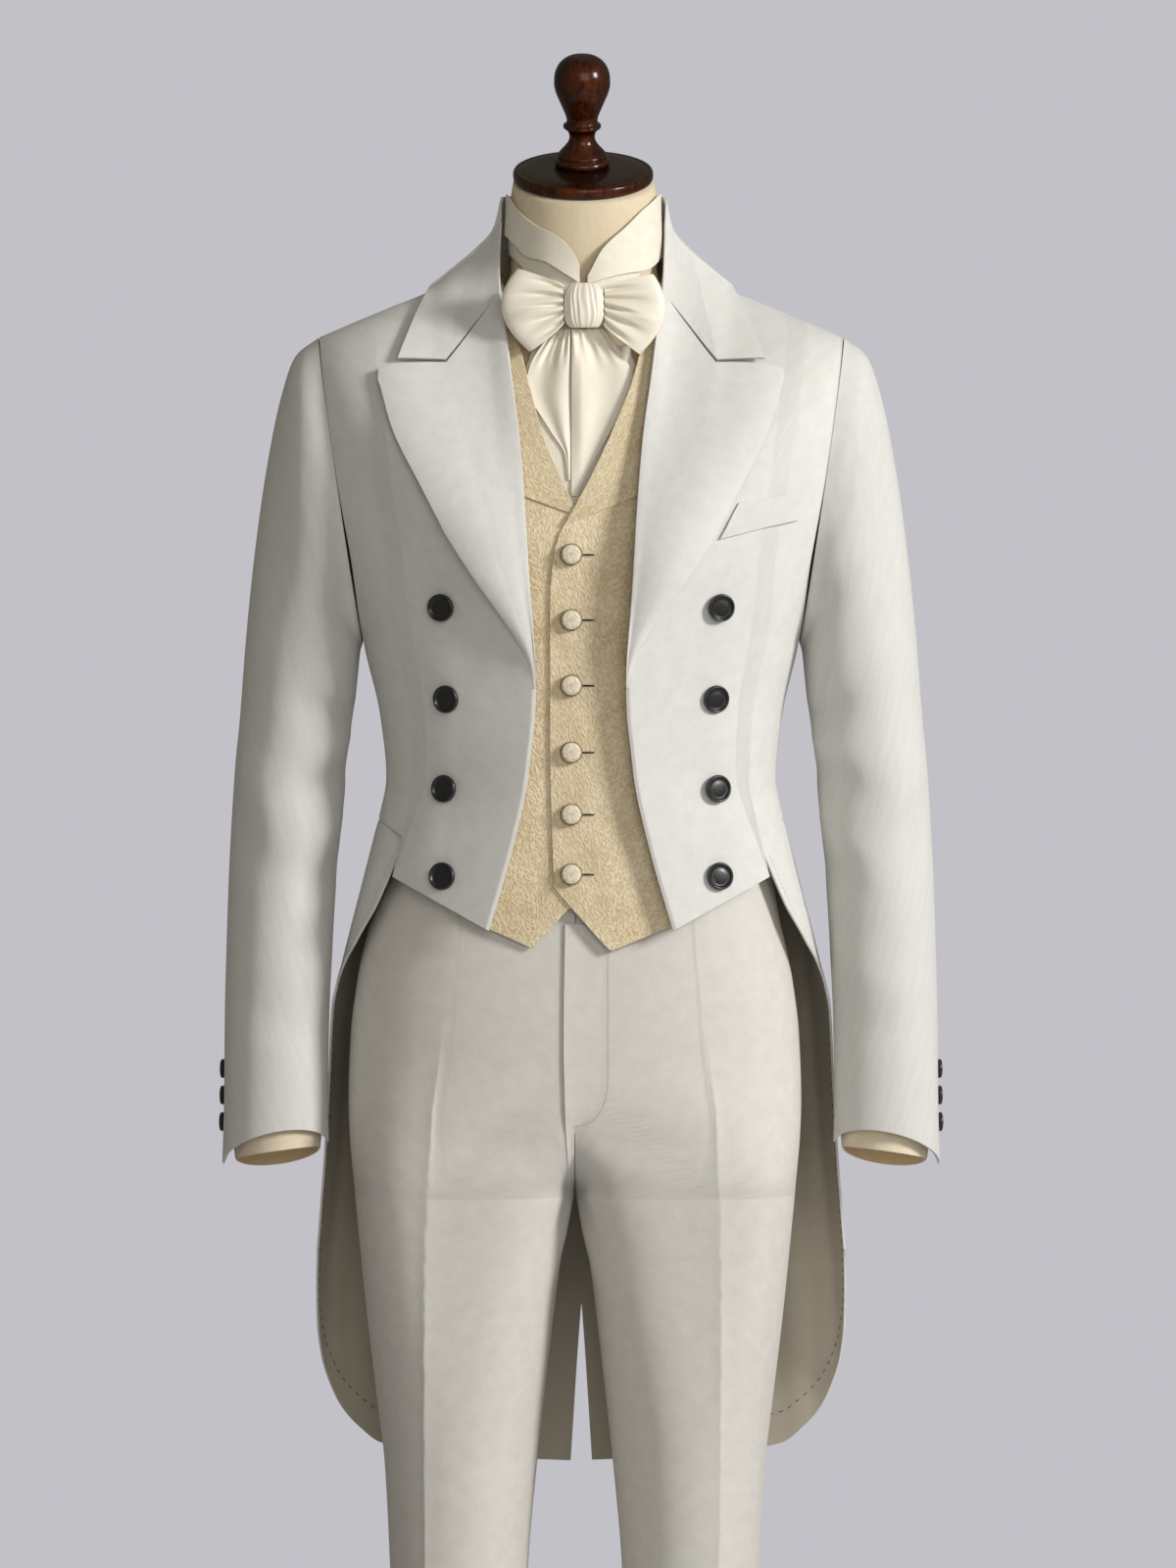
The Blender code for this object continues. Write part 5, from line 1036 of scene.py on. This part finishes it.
# outer edge of a lapel: height, distance from the middle
LAPEL_EDGE = np.array([
    (1.2600, 0.0375), (1.2680, 0.0385), (1.2775, 0.0408), (1.2900, 0.0462), (1.3023, 0.0530),
    (1.3200, 0.0645), (1.3480, 0.0832), (1.3780, 0.1020), (1.4191, 0.1254), (1.4669, 0.1500),
    (1.5000, 0.1602), (1.5080, 0.1626), (1.5150, 0.1620)])
# soft folds of a front and of a back: start x, start height, end x, end height, half width, rise
FRONT_FOLDS = [
    (0.186, 1.470, 0.150, 1.360, 0.016, -0.0022), (0.168, 1.480, 0.128, 1.370, 0.018, 0.0014),
    (0.150, 1.300, 0.120, 1.215, 0.022, -0.0014), (0.060, 1.190, 0.150, 1.165, 0.020, -0.0010),
    (0.070, 1.245, 0.155, 1.215, 0.024, 0.0009), (0.110, 1.150, 0.150, 1.120, 0.016, 0.0010)]
BACK_FOLDS = [
    (0.170, 1.470, 0.110, 1.330, 0.020, -0.0024), (0.150, 1.480, 0.080, 1.360, 0.022, 0.0016),
    (0.030, 1.215, 0.150, 1.190, 0.018, -0.0016), (0.040, 1.245, 0.150, 1.235, 0.018, 0.0013),
    (0.020, 1.580, 0.100, 1.545, 0.020, -0.0014)]
coat_wool = woven("coat_wool", (0.680, 0.670, 0.633), (0.800, 0.795, 0.765), 0.86, 1600.0, 0.00012, 75.0,
                  1.1, Sheen_Weight=0.18, Sheen_Roughness=0.45)
# painted light: the lapels and the collar get a lighter copy of the coat wool, standing in for the brighter
# light they catch
lapel_wool_painted_light = woven("lapel_wool_painted_light", (0.735, 0.725, 0.690), (0.860, 0.855, 0.827), 0.84, 1600.0, 0.00012, 75.0,
                   1.1, Sheen_Weight=0.18, Sheen_Roughness=0.45)
FRONT_SHARES = finer([0, 0.12, 0.24, 0.36, 0.48, 0.59, 0.70, 0.80, 0.89, 0.955, 0.988, 1.0], 6)
FRONT_SHARES = np.sort(np.concatenate([FRONT_SHARES, [0.003, 0.007, 0.012, 0.030]]))
BACK_SHARES = finer([0, 0.18, 0.36, 0.52, 0.68, 0.81, 0.91, 0.975, 1.0], 8)


def coat_foot_share(k):
    """Share of the coat's half width where a front's lower edge lies, k of the way along it."""
    return straight(COAT_FOOT, k) / half_width(straight(COAT_FOOT, k, 2))


def side_seam_out(grid, *edges):
    """Normals of a coat panel, square to the side seam below the armhole."""
    out = square_off(normals(grid, BODY_MIDDLE), *edges)
    out[grid[:, -1, 2] < ARM_LOW + 0.002, -1, 1] = 0.0
    out[:, -1] = unit(out[:, -1])
    return out


def inset(grid):
    """0 along every edge of a grid, rising to 1 some way in, so that folds leave seams and edges alone."""
    i, j = (np.minimum(np.arange(count), np.arange(count)[::-1]) for count in grid.shape[:2])
    return ramp(0, 9, i[:, None]) * ramp(0, 9, j[None, :])


def front_roll(x, height):
    """How far a front stands off the body by its rolled edge and under the outer part of its lapel."""
    edge = np.where(height < 1.26, curve(COAT_EDGE, height), curve(LAPEL_EDGE, height))
    most = (0.0085 + 0.0030 * ramp(1.10, 1.20, height)) * (1.0 - ramp(1.34, 1.50, height))
    wide = 0.060 - 0.006 * ramp(1.16, 1.10, height) - 0.018 * ramp(1.25, 1.32, height)
    return most * (1.0 - ((x - edge) / wide).clip(0.0, 1.0)) ** 1.5


front = body_grid(FRONT_SHARES, lambda h: curve(COAT_EDGE, h) / half_width(h), np.ones_like,
                  lambda k: straight(COAT_FOOT, k, 2), np.ones_like, 64, 44, True, coat_foot_share)
rear = body_grid(BACK_SHARES, lambda h: np.full_like(h, 0.0012), np.ones_like,
                 lambda k: np.full_like(k, WAIST_SEAM),
                 lambda share: np.minimum(1.0, 0.70 + 0.30 * (share / 0.36) ** 2), 48, 44, False)
for name, grid, table, edges in (
        ("front", front, FRONT_FOLDS, (("last_row", 1),)),
        ("back", rear, BACK_FOLDS, (("last_row", 1), ("first_col", 0)))):
    out = side_seam_out(grid, *edges)
    rise = folds(grid[..., 0], grid[..., 2], table) * inset(grid)
    if name == "front":
        rise = rise - 0.0013 * (1.0 - ramp(0.0, 0.0026, lengths(grid, 1)))
        grid[..., 1] -= front_roll(grid[..., 0], grid[..., 2])
    grid = grid + out * rise[..., None]
    out = side_seam_out(grid, *edges)
    for side, word in SIDES:
        piece = wall("coat_%s_cloth_%s" % (name, word), mirrored(grid, side), mirrored(out, side), 0.0,
                     COAT_WALL, coat_wool, round_edge=0.0009)
        dress(piece, grid, "coat_wool", ["coat_%s_%s" % (name, word)])

# ---- coat tails ----
# Two long panels hung from the waist seam, wider and deeper towards their rounded lower corners; the
# wearer's left one laps over the right at the vent, and their edges are turned in and sewn down.

# tails: height, half width, how far back the widest line lies, depth in front, depth behind
SKIRT = np.array([
    (0.610, 0.2215, 0.088, 0.100, 0.150), (0.700, 0.2215, 0.075, 0.100, 0.150),
    (0.761, 0.2207, 0.062, 0.100, 0.149), (0.830, 0.2156, 0.046, 0.100, 0.147),
    (0.886, 0.2109, 0.032, 0.105, 0.145), (0.950, 0.2070, 0.018, 0.108, 0.142),
    (1.000, 0.2040, 0.004, 0.111, 0.136), (1.040, 0.1950, 0.004, 0.116, 0.127),
    (1.110, 0.1770, 0.004, 0.119, 0.106), (1.157, 0.1650, 0.004, 0.119, 0.092)])
# front edge of a tail: height, distance from the middle
TAIL_EDGE = np.array([
    (0.6100, 0.2215), (0.7610, 0.2207), (0.8860, 0.2109), (0.9500, 0.2070), (0.9992, 0.2040),
    (1.0187, 0.2005), (1.0390, 0.1932), (1.0585, 0.1826), (1.0857, 0.1697), (1.1128, 0.1580),
    (1.1421, 0.1470), (1.1570, 0.1452)])
# its lower edge: distance from the middle, height
TAIL_FOOT = np.array([
    (0.0000, 0.616), (0.1000, 0.620), (0.1658, 0.632), (0.1850, 0.646), (0.2009, 0.665),
    (0.2134, 0.696), (0.2195, 0.731), (0.2215, 0.800)])
# its edge at the vent: height, distance from the middle, below 0 where the tails overlap
TAIL_VENT = np.array([
    (0.615, 0.0090), (0.736, 0.0010), (0.800, -0.0050), (0.950, -0.0150), (1.157, -0.0200)])
TAIL_WIDEST, WAIST_HALF, WAIST_FRONT = SKIRT[0, 1], SKIRT[-1, 1], TAIL_EDGE[-1, 1]
# long soft flutes of a tail: start height, start turn, end height, end turn, half width, rise
TAIL_FOLDS = [
    (1.080, 0.55, 0.640, 0.42, 0.022, -0.0050), (1.060, 0.72, 0.640, 0.66, 0.024, 0.0045),
    (1.100, 0.30, 0.700, 0.20, 0.018, 0.0030), (1.120, 0.86, 0.700, 0.84, 0.020, -0.0030)]


def skirt_point(turn, height, side):
    """Point of a tail: turn is 0 at the widest line and a quarter at the centre back."""
    wide, line, front, back = (curve(SKIRT, height, i) for i in range(1, 5))
    power = 2.0 / ROUND
    x = wide * np.abs(np.cos(turn)) ** power
    span = np.where(turn < 0.0, front + line, back - line)
    y = line + span * bent(np.sin(turn), power)
    vent = curve(TAIL_VENT, height)
    x = vent + x * (wide - vent) / wide
    if side < 0:
        y = y - 0.0046 * (1.0 - ramp(0.030, 0.068, x))
    return np.stack([x * side, y, height], axis=-1)


# inner faces of the tails: a darker, warmer diagonal twill than the coat wool
tail_inner_twill, tree, shader = new_finish("tail_inner_twill", 0.62, Sheen_Weight=0.1)
flat = cut_place(tree)
twill = add_node(tree, "ShaderNodeTexWave", {"Vector": flat, "Scale": 420.0, "Distortion": 0.6,
                                             "Detail": 2.0}, bands_direction="DIAGONAL").outputs[1]
both = maths(tree, "ADD", twill, noise(tree, flat, 40.0, 5.0))
share = maths(tree, "MULTIPLY_ADD", both, 0.8, -0.35, clamp=True)
tint(tree, shader, share, (0.50, 0.45, 0.355), (0.62, 0.57, 0.47))
bump(tree, shader, twill, 0.0001, 0.5)


def line_inside(piece, count, finish):
    """Gives the inner face of a wall of cloth, the second count of its faces, another finish."""
    piece.data.materials.append(finish)
    face = np.arange(len(piece.data.polygons)) // count
    piece.data.polygons.foreach_set("material_index", (face == 1).astype(np.int32))


hem_thread = speckled("hem_thread", 0.7, (0.09, 0.078, 0.055), (0.17, 0.15, 0.11), 1500.0)[0]
k = finer([0, 0.06, 0.12, 0.19, 0.28, 0.4, 0.56, 0.72, 0.87, 1.0], 8)[None, :]
rows = finer([0, 0.05, 0.1, 0.16, 0.23, 0.31, 0.42, 0.55, 0.68, 0.8, 0.9, 1.0], 8)[:, None]
power = ROUND / 2.0
foot = curve(TAIL_FOOT, TAIL_WIDEST * np.cos(k * np.pi / 2) ** (1.0 / power))
turn = -np.arccos((WAIST_FRONT / WAIST_HALF) ** power)
turn = turn + (np.pi / 2 - turn) * k
# before the side seam the top follows the slanting hem of the front
top = WAIST_SEAM - 0.0003 - 0.71 * WAIST_HALF * (1.0 - np.cos(np.minimum(turn, 0.0)) ** (1.0 / power))
height = top + (foot - top) * rows
start = -np.arccos(np.clip(curve(TAIL_EDGE, height) / curve(SKIRT, height), 0.0, 1.0) ** power)
start = start * ramp(0.994, 1.010, height)
turn = start + (np.pi / 2 - start) * k
for side, word in SIDES:
    grid = skirt_point(turn, height, side)
    out = square_off(normals(grid, (0.0, 0.0, 0.9)), ("first_row", 2))
    flute = folds(height, k, TAIL_FOLDS, 1.0, 0.30) * ramp(0.0, 0.12, k) * ramp(1.0, 0.93, k)
    sink = 0.0024 * (1.0 - ramp(0.0, 0.10, k)) * ramp(1.06, 1.09, height)
    sink = sink + 0.0012 * (1.0 - ramp(0.0, 0.0045, top - height))
    grid = grid + out * (flute * (1.0 if side > 0 else 0.8) - sink)[..., None]
    piece = wall("coat_tail_cloth_" + word, grid, out, 0.0, COAT_WALL, coat_wool)
    line_inside(piece, (grid.shape[0] - 1) * (grid.shape[1] - 1), tail_inner_twill)
    dress(piece, grid, "coat_wool", ["coat_tail_" + word])
    # the hem's row of stitches runs down the front edge, along the foot and up the vent
    line, face = (np.concatenate([part[8:-5, 3], part[-5, 4:-3], part[-6:40:-1, -4]]) for part in (grid, out))
    stitches("tail_hem_inside_" + word, line - face * (COAT_WALL + 0.0001), -face, hem_thread, "coat_wool",
             0.0090, 0.0042, 0.00040)
    stitches("tail_hem_outside_" + word, line + face * 0.0001, face, pale_thread, "coat_wool",
             0.0040, 0.0026)

# ---- sleeves ----
# One tube of coat wool for each arm, set into the oval armhole, full at its head, bent a little
# forward at the elbow, with a slanted hem; the shirt cuff shows below it.

# rings down a sleeve: its outer side's distance from the middle and height, the same of its inner side,
# how far back its middle lies, half depth, arch of the ring
SLEEVE = np.array([
    (0.2144, 1.5485, 0.1783, 1.2995, 0.0040, 0.0700, 0.0000),
    (0.2330, 1.5335, 0.1800, 1.2940, 0.0040, 0.0730, 0.0000),
    (0.2456, 1.4980, 0.1812, 1.2860, 0.0040, 0.0740, 0.0000),
    (0.2568, 1.4430, 0.1826, 1.2720, 0.0045, 0.0730, 0.0000),
    (0.2664, 1.3750, 0.1850, 1.2500, 0.0060, 0.0710, 0.0000),
    (0.2736, 1.3060, 0.1890, 1.2250, 0.0080, 0.0680, 0.0000),
    (0.2795, 1.2300, 0.1925, 1.1900, 0.0090, 0.0655, 0.0000),
    (0.2860, 1.1500, 0.1975, 1.1350, 0.0080, 0.0620, 0.0000),
    (0.2890, 1.0700, 0.2025, 1.0650, 0.0030, 0.0580, 0.0015),
    (0.2905, 0.9900, 0.2055, 0.9900, -0.0060, 0.0540, 0.0045),
    (0.2905, 0.9300, 0.2060, 0.9350, -0.0150, 0.0500, 0.0105),
    (0.2915, 0.8755, 0.2050, 0.8930, -0.0220, 0.0470, 0.0190)])
# folds of a sleeve: start place down the sleeve (0 to 11), start turn in degrees, end place, end turn,
# half width, rise; turn 0 is the outer side, 90 the front
SLEEVE_FOLDS = [
    (0.6, 150.0, 3.2, 110.0, 0.016, -0.0040), (0.8, 120.0, 3.6, 80.0, 0.015, 0.0028),
    (4.2, 170.0, 5.4, 95.0, 0.015, -0.0036), (5.0, 175.0, 6.0, 110.0, 0.013, 0.0030),
    (5.8, 180.0, 6.6, 90.0, 0.014, -0.0046), (6.6, 175.0, 7.2, 100.0, 0.012, 0.0034),
    (7.2, 180.0, 7.6, 110.0, 0.013, -0.0036), (8.3, 170.0, 8.6, 80.0, 0.016, 0.0022),
    (9.2, 160.0, 9.0, 60.0, 0.018, -0.0022), (6.2, 10.0, 6.6, 80.0, 0.020, 0.0024),
    (6.8, 20.0, 7.4, 85.0, 0.018, -0.0026), (2.0, 40.0, 4.5, 60.0, 0.026, -0.0024),
    (1.0, 210.0, 3.0, 250.0, 0.018, -0.0044), (5.2, 200.0, 6.2, 260.0, 0.018, -0.0040),
    (6.2, 195.0, 6.9, 265.0, 0.016, 0.0034), (7.2, 200.0, 7.8, 270.0, 0.018, -0.0030)]


def tube_ring(rows, place, turn, side, tilt=0.0):
    """Points of a tube: place runs down it, turn goes from its outer side over the front; the middle, the
    half axes and the arch of its slanted oval are smooth curves through the rows."""
    index = np.column_stack([np.arange(len(rows), dtype=float), rows])
    xo, zo, xi, zi, mid, deep, rise = (curve(index, place, i) for i in range(1, 8))
    c, s = np.cos(turn), np.sin(turn)
    z = (zo + zi) / 2.0 + (zo - zi) / 2.0 * c + rise * np.sqrt(s * s + 0.0004) + tilt * s
    return np.stack([((xo + xi) / 2.0 + (xo - xi) / 2.0 * c) * side, mid - deep * s, z], -1)


# shirt cuff below its top ring: the same columns, and how much the front is lifted and the back lowered
CUFF = np.array([
    (0.2840, 0.9020, 0.2100, 0.9130, -0.0192, 0.0418, 0.0030, 0.0040),
    (0.2812, 0.8792, 0.2120, 0.8890, -0.0200, 0.0400, -0.0040, 0.0075)])


def tube_out(grid, place):
    """Normals of a tube, away from its middle line."""
    out = normals(grid, place, ring=True)
    middle = grid.mean(axis=1, keepdims=True)
    return np.where(((grid - middle) * out).sum(axis=2, keepdims=True) > 0.0, out, -out)


# painted light: the cuffs' inner faces get a warmer, more golden copy of the cuff cotton, standing in for
# warm light in their shaded hollows
cuff_inside_painted_light = woven("cuff_inside_painted_light", (0.80, 0.60, 0.33), (0.92, 0.72, 0.42), 0.75, 2400.0, 0.00006,
                    Sheen_Weight=0.1)
SLEEVE_SIDES, CUFF_ROWS, CUFF_WALL, CUFF_CLEAR = 96, 24, 0.0016, 0.0008
turn = full_turn(SLEEVE_SIDES)
degrees = np.degrees(turn)[None, :]
place = np.concatenate([np.linspace(0.0, 2.0, 25)[:-1], np.linspace(2.0, 11.0, 109)])[:, None]
inner = np.linspace(0.0, 2.0, CUFF_ROWS)[:, None]
# the cuff's top ring lies inside the sleeve, a little above its hem
cuff_top = SLEEVE[-2] * 0.85 + SLEEVE[-1] * 0.15
cuff_top[[0, 2, 5]] += (COAT_WALL + CUFF_CLEAR) * np.array([-1.0, 1.0, -1.0])
for side, word in SIDES:
    grid = tube_ring(SLEEVE, place, turn[None, :], side)
    out = tube_out(grid, (0.24 * side, 0.0, 1.2))
    out[0, :, 0] = 0.0
    out[0] = unit(out[0])
    rise = sum(folds(place, degrees - whole, SLEEVE_FOLDS, 0.065, 0.00095) for whole in (0.0, 360.0))
    rise = rise * ramp(0.1, 1.0, place) * ramp(11.0, 10.2, place) * (1.0 if side > 0 else 1.15)
    grid = grid + out * rise[..., None]
    piece = wall("coat_sleeve_cloth_" + word, grid, out, 0.0, COAT_WALL, coat_wool, ring=True)
    dress(piece, grid, "coat_wool", ["coat_sleeve_" + word], ring=True)
    grid = tube_ring(np.vstack([cuff_top, CUFF[:, :7]]), inner, turn[None, :], side,
                     np.interp(inner, [0.0, 1.0, 2.0], [0.0, *CUFF[:, 7]]))
    piece = wall("shirt_cuff_cloth_" + word, grid, tube_out(grid, (0.2478 * side, -0.02, 0.9)), 0.0,
                 CUFF_WALL, cuff_cotton, ring=True, round_edge=0.0007)
    line_inside(piece, (CUFF_ROWS - 1) * SLEEVE_SIDES, cuff_inside_painted_light)
    dress(piece, grid, "shirt_cotton", ["shirt_cuff_" + word],
          ring=True)

# ---- lapels, collar and breast welt ----
# The lapels are the fronts' facings turned out along the roll, with raised peaks; the collar falls from
# the stand round the neck; the welt is a folded strip sewn over the breast pocket.
LAPEL_LIFT, LAPEL_WALL, COLLAR_WALL = 0.0016, 0.0018, 0.0020
LAPEL_FOOT, LAPEL_PEAK, GORGE_TOP = 1.2600, 1.5150, 1.5800
# upper edge of a lapel, end of the collar: share of the width, distance from the middle, height
LAPEL_TOP = np.array([
    (0.00, 0.0643, GORGE_TOP), (0.45, 0.1080, 1.5198), (0.90, 0.1502, 1.5186), (1.00, 0.1620, LAPEL_PEAK)])
COLLAR_END = np.array([(0.00, 0.0643, 1.5812), (0.50, 0.1090, 1.5226), (1.00, 0.1478, 1.5232)])
# collar over the shoulder: share of its width from the fold, distance from the middle, height
COLLAR_OVER = np.array([
    (0.00, 0.0676, 1.6600), (0.25, 0.0735, 1.6350), (0.50, 0.0880, 1.6178), (0.75, 0.1050, 1.6032),
    (1.00, 0.1235, 1.5885)])
# collar behind the neck: how far behind the side seam plane and how much higher, at its fold and its edge
COLLAR_FOLD_BACK, COLLAR_EDGE_BACK = (0.0640, 0.008), (0.0740, 0.012)


def lapel_rise(share, height):
    """How far a lapel stands off the chest: it rolls up from the front edge and hangs free outside."""
    most = 0.0085 * ramp(1.275, 1.36, height) * (1.0 - 0.55 * ramp(1.40, 1.51, height))
    return most * (1.0 - (1.0 - share) ** 2.2)


share = np.linspace(0.0, 1.0, 41)
heights, outer_h = np.linspace(LAPEL_FOOT, GORGE_TOP, 120), np.linspace(LAPEL_FOOT, LAPEL_PEAK, 120)
inside = np.stack([curve(COAT_EDGE, heights), heights], -1)
outside = np.stack([curve(LAPEL_EDGE, outer_h), outer_h], -1)
top = np.stack([straight(LAPEL_TOP, share, i) for i in (1, 2)], -1)
x, level = np.moveaxis(patch(inside, outside, np.linspace(inside[0], outside[0], 41), top), -1, 0)
out = body_normal(x, level)
roll = 0.0014 * np.exp(-(share / 0.10) ** 2) + 0.0010 * np.sin(np.pi * share) ** 2 - 0.0012 * share ** 12
roll = roll[None, :] * ramp(0.0, 0.15, np.linspace(0.0, 1.0, 120))[:, None]
roll = roll + lapel_rise(share[None, :], level) - 0.0033 * ramp(1.300, 1.262, level)
lapel_grid = on_body(x, level) + out * roll[..., None]
lapel_grid[..., 1] -= front_roll(x, level)
for side, word in SIDES:
    grid = mirrored(lapel_grid, side)
    piece = wall("lapel_cloth_" + word, grid, mirrored(out, side), LAPEL_LIFT + LAPEL_WALL, LAPEL_WALL,
                 lapel_wool_painted_light, round_edge=0.0008)
    dress(piece, grid, "coat_wool", ["lapel_" + word])

share = np.linspace(0.0, 1.0, 33)
end = np.stack([straight(COLLAR_END, share, i) for i in (1, 2)], -1)
over = np.stack([curve(COLLAR_OVER, share, i) for i in (1, 2)], -1)
drop = (over - over[0]) / (over[-1] - over[0])
t = np.linspace(0.0, 1.0, 41)[:, None, None]
x, level = np.moveaxis(end * (1 - t) + over * t, -1, 0)
out = unit(body_normal(x, level) * (1 - t) + np.array([0.0, 0.0, 1.0]) * t)
lift = LAPEL_LIFT + LAPEL_WALL + 0.0012 * np.sin(np.pi * t)
lift = lift + lapel_rise(share, COLLAR_END[-1, 2])[None, :, None] * (1 - t)
side_rows = on_body(x, level) + out * lift
last, turn = side_rows[-1], np.linspace(0.0, np.pi / 2, 33)[1:, None]
c, s = np.cos(turn), np.sin(turn)
fold, edge = (np.stack([corner[0] * c, SIDE_Y + back * s, corner[2] + up * s], -1)
              for corner, (back, up) in ((last[0], COLLAR_FOLD_BACK), (last[-1], COLLAR_EDGE_BACK)))
even = ramp(0.3, 1.3, turn)[..., None]
drop = drop * (1.0 - even) + share[None, :, None] * even
half = np.concatenate([side_rows, fold + (edge - fold) * drop[..., [0, 0, 1]]])
# the fold keeps to the neck, which stands a little to the side
shift = (1.0 - share)[None, :] * NECK_X * ramp(0, 40, np.arange(len(half)))[:, None]
shift = shift[..., None] * (1, 0, 0)
grid = np.concatenate([mirrored(half, -1) + shift, (half + shift)[:-1][::-1]])
collar = wall("coat_collar_cloth", grid, normals(grid, (0.0, SIDE_Y, 1.50)), 0.0, COLLAR_WALL, lapel_wool_painted_light,
              round_edge=0.0008)
dress(collar, grid, "coat_wool",
      ["coat_collar"])

# the welt's lower and upper edges, from its inner to its outer end
WELT_LOWER, WELT_UPPER = ((0.1075, 1.3790), (0.1745, 1.3960)), ((0.1240, 1.4075), (0.1747, 1.4175))
WELT_LIFT, WELT_WALL = 0.0022, 0.0012
low, high = (np.linspace(*ends, 40) for ends in (WELT_LOWER, WELT_UPPER))
x, level = np.moveaxis(np.linspace(low, high, 14), -1, 0)
out = body_normal(x, level)
grid = on_body(x, level) + out * front_roll(x, level)[..., None]
welt = wall("breast_welt_cloth", grid, out, WELT_LIFT, WELT_WALL, coat_wool)
dress(welt, grid, "coat_wool", ["breast_welt"])

# ---- coat and cuff buttons ----
# Polished near-black buttons with a rounded rim and a slightly sunk face, sewn flat to the fronts, to
# the back of the waist and in threes to the sleeves.
COAT_BUTTON_R, CUFF_BUTTON_R = 0.0112, 0.0078
# buttons of a front: distance from the middle, height, how far they stand off the cloth
FRONT_BUTTONS = ((0.1103, 1.3250, 0.0017), (0.1070, 1.2520, 0.0006), (0.1082, 1.1801, 0.0013),
                 (0.1098, 1.1101, 0.0006))
BACK_BUTTON, BACK_BUTTON_LIFT = (0.042, 1.172), 0.0010
CUFF_BUTTON_LEVELS, CUFF_BUTTON_TURN, CUFF_BUTTON_LIFT = (0.9520, 0.9305, 0.9090), np.radians(-8.0), 0.0005
button_horn, tree, shader, streaks = speckled(
    "button_horn", 0.34, (0.004, 0.004, 0.0045), (0.016, 0.016, 0.018), 180.0, 5.0, 1.5, Coat_Weight=0.25,
    Coat_Roughness=0.15)
tree.links.new(maths(tree, "MULTIPLY_ADD", streaks, 0.18, 0.25), shader.inputs["Roughness"])
BUTTON = rounded([
    (0.0, 0.0), (0.74, 0.0), (0.93, 0.0005), (1.0, 0.0016), (0.99, 0.0030), (0.95, 0.0039), (0.88, 0.0043),
    (0.81, 0.0040), (0.75, 0.0031), (0.66, 0.0026), (0.30, 0.0030), (0.0, 0.0031)], 4)


def sew_button(kind, radius, centre, out):
    """Turned button of a radius, its height in proportion to it; kind is its name with side and number."""
    name, tail = kind.split("_button", 1)
    profile = BUTTON * (radius, radius / COAT_BUTTON_R)
    fasten(turned(name + "_button_horn" + tail, profile, button_horn, centre, out, 44), "button_horn", kind)


for side, word in SIDES:
    for count, (x, level, lift) in enumerate(FRONT_BUTTONS, 1):
        at = np.array(x * side), np.array(level)
        out = body_normal(*at)
        centre = on_body(*at) + out * (lift + front_roll(x - 0.009, level))
        sew_button("coat_button_%s_%d" % (word, count), COAT_BUTTON_R, centre, out)
    at = np.array(BACK_BUTTON[0] * side), np.array(BACK_BUTTON[1])
    out = body_normal(*at, False)
    sew_button("back_button_" + word, COAT_BUTTON_R, on_body(*at, False) + out * BACK_BUTTON_LIFT, out)
    for count, level in enumerate(CUFF_BUTTON_LEVELS, 1):
        spot = np.interp(level, SLEEVE[::-1, 1], np.arange(12.0)[::-1])
        centre = tube_ring(SLEEVE, np.array(spot), np.array(CUFF_BUTTON_TURN), side)
        outer, inner, deep = (np.interp(spot, np.arange(12.0), SLEEVE[:, i]) for i in (0, 2, 5))
        out = unit(np.array([np.cos(CUFF_BUTTON_TURN) / (outer - inner) * 2.0 * side,
                             -np.sin(CUFF_BUTTON_TURN) / deep, 0.0]))
        centre[2] = level
        sew_button("cuff_button_%s_%d" % (word, count), CUFF_BUTTON_R, centre + out * CUFF_BUTTON_LIFT, out)
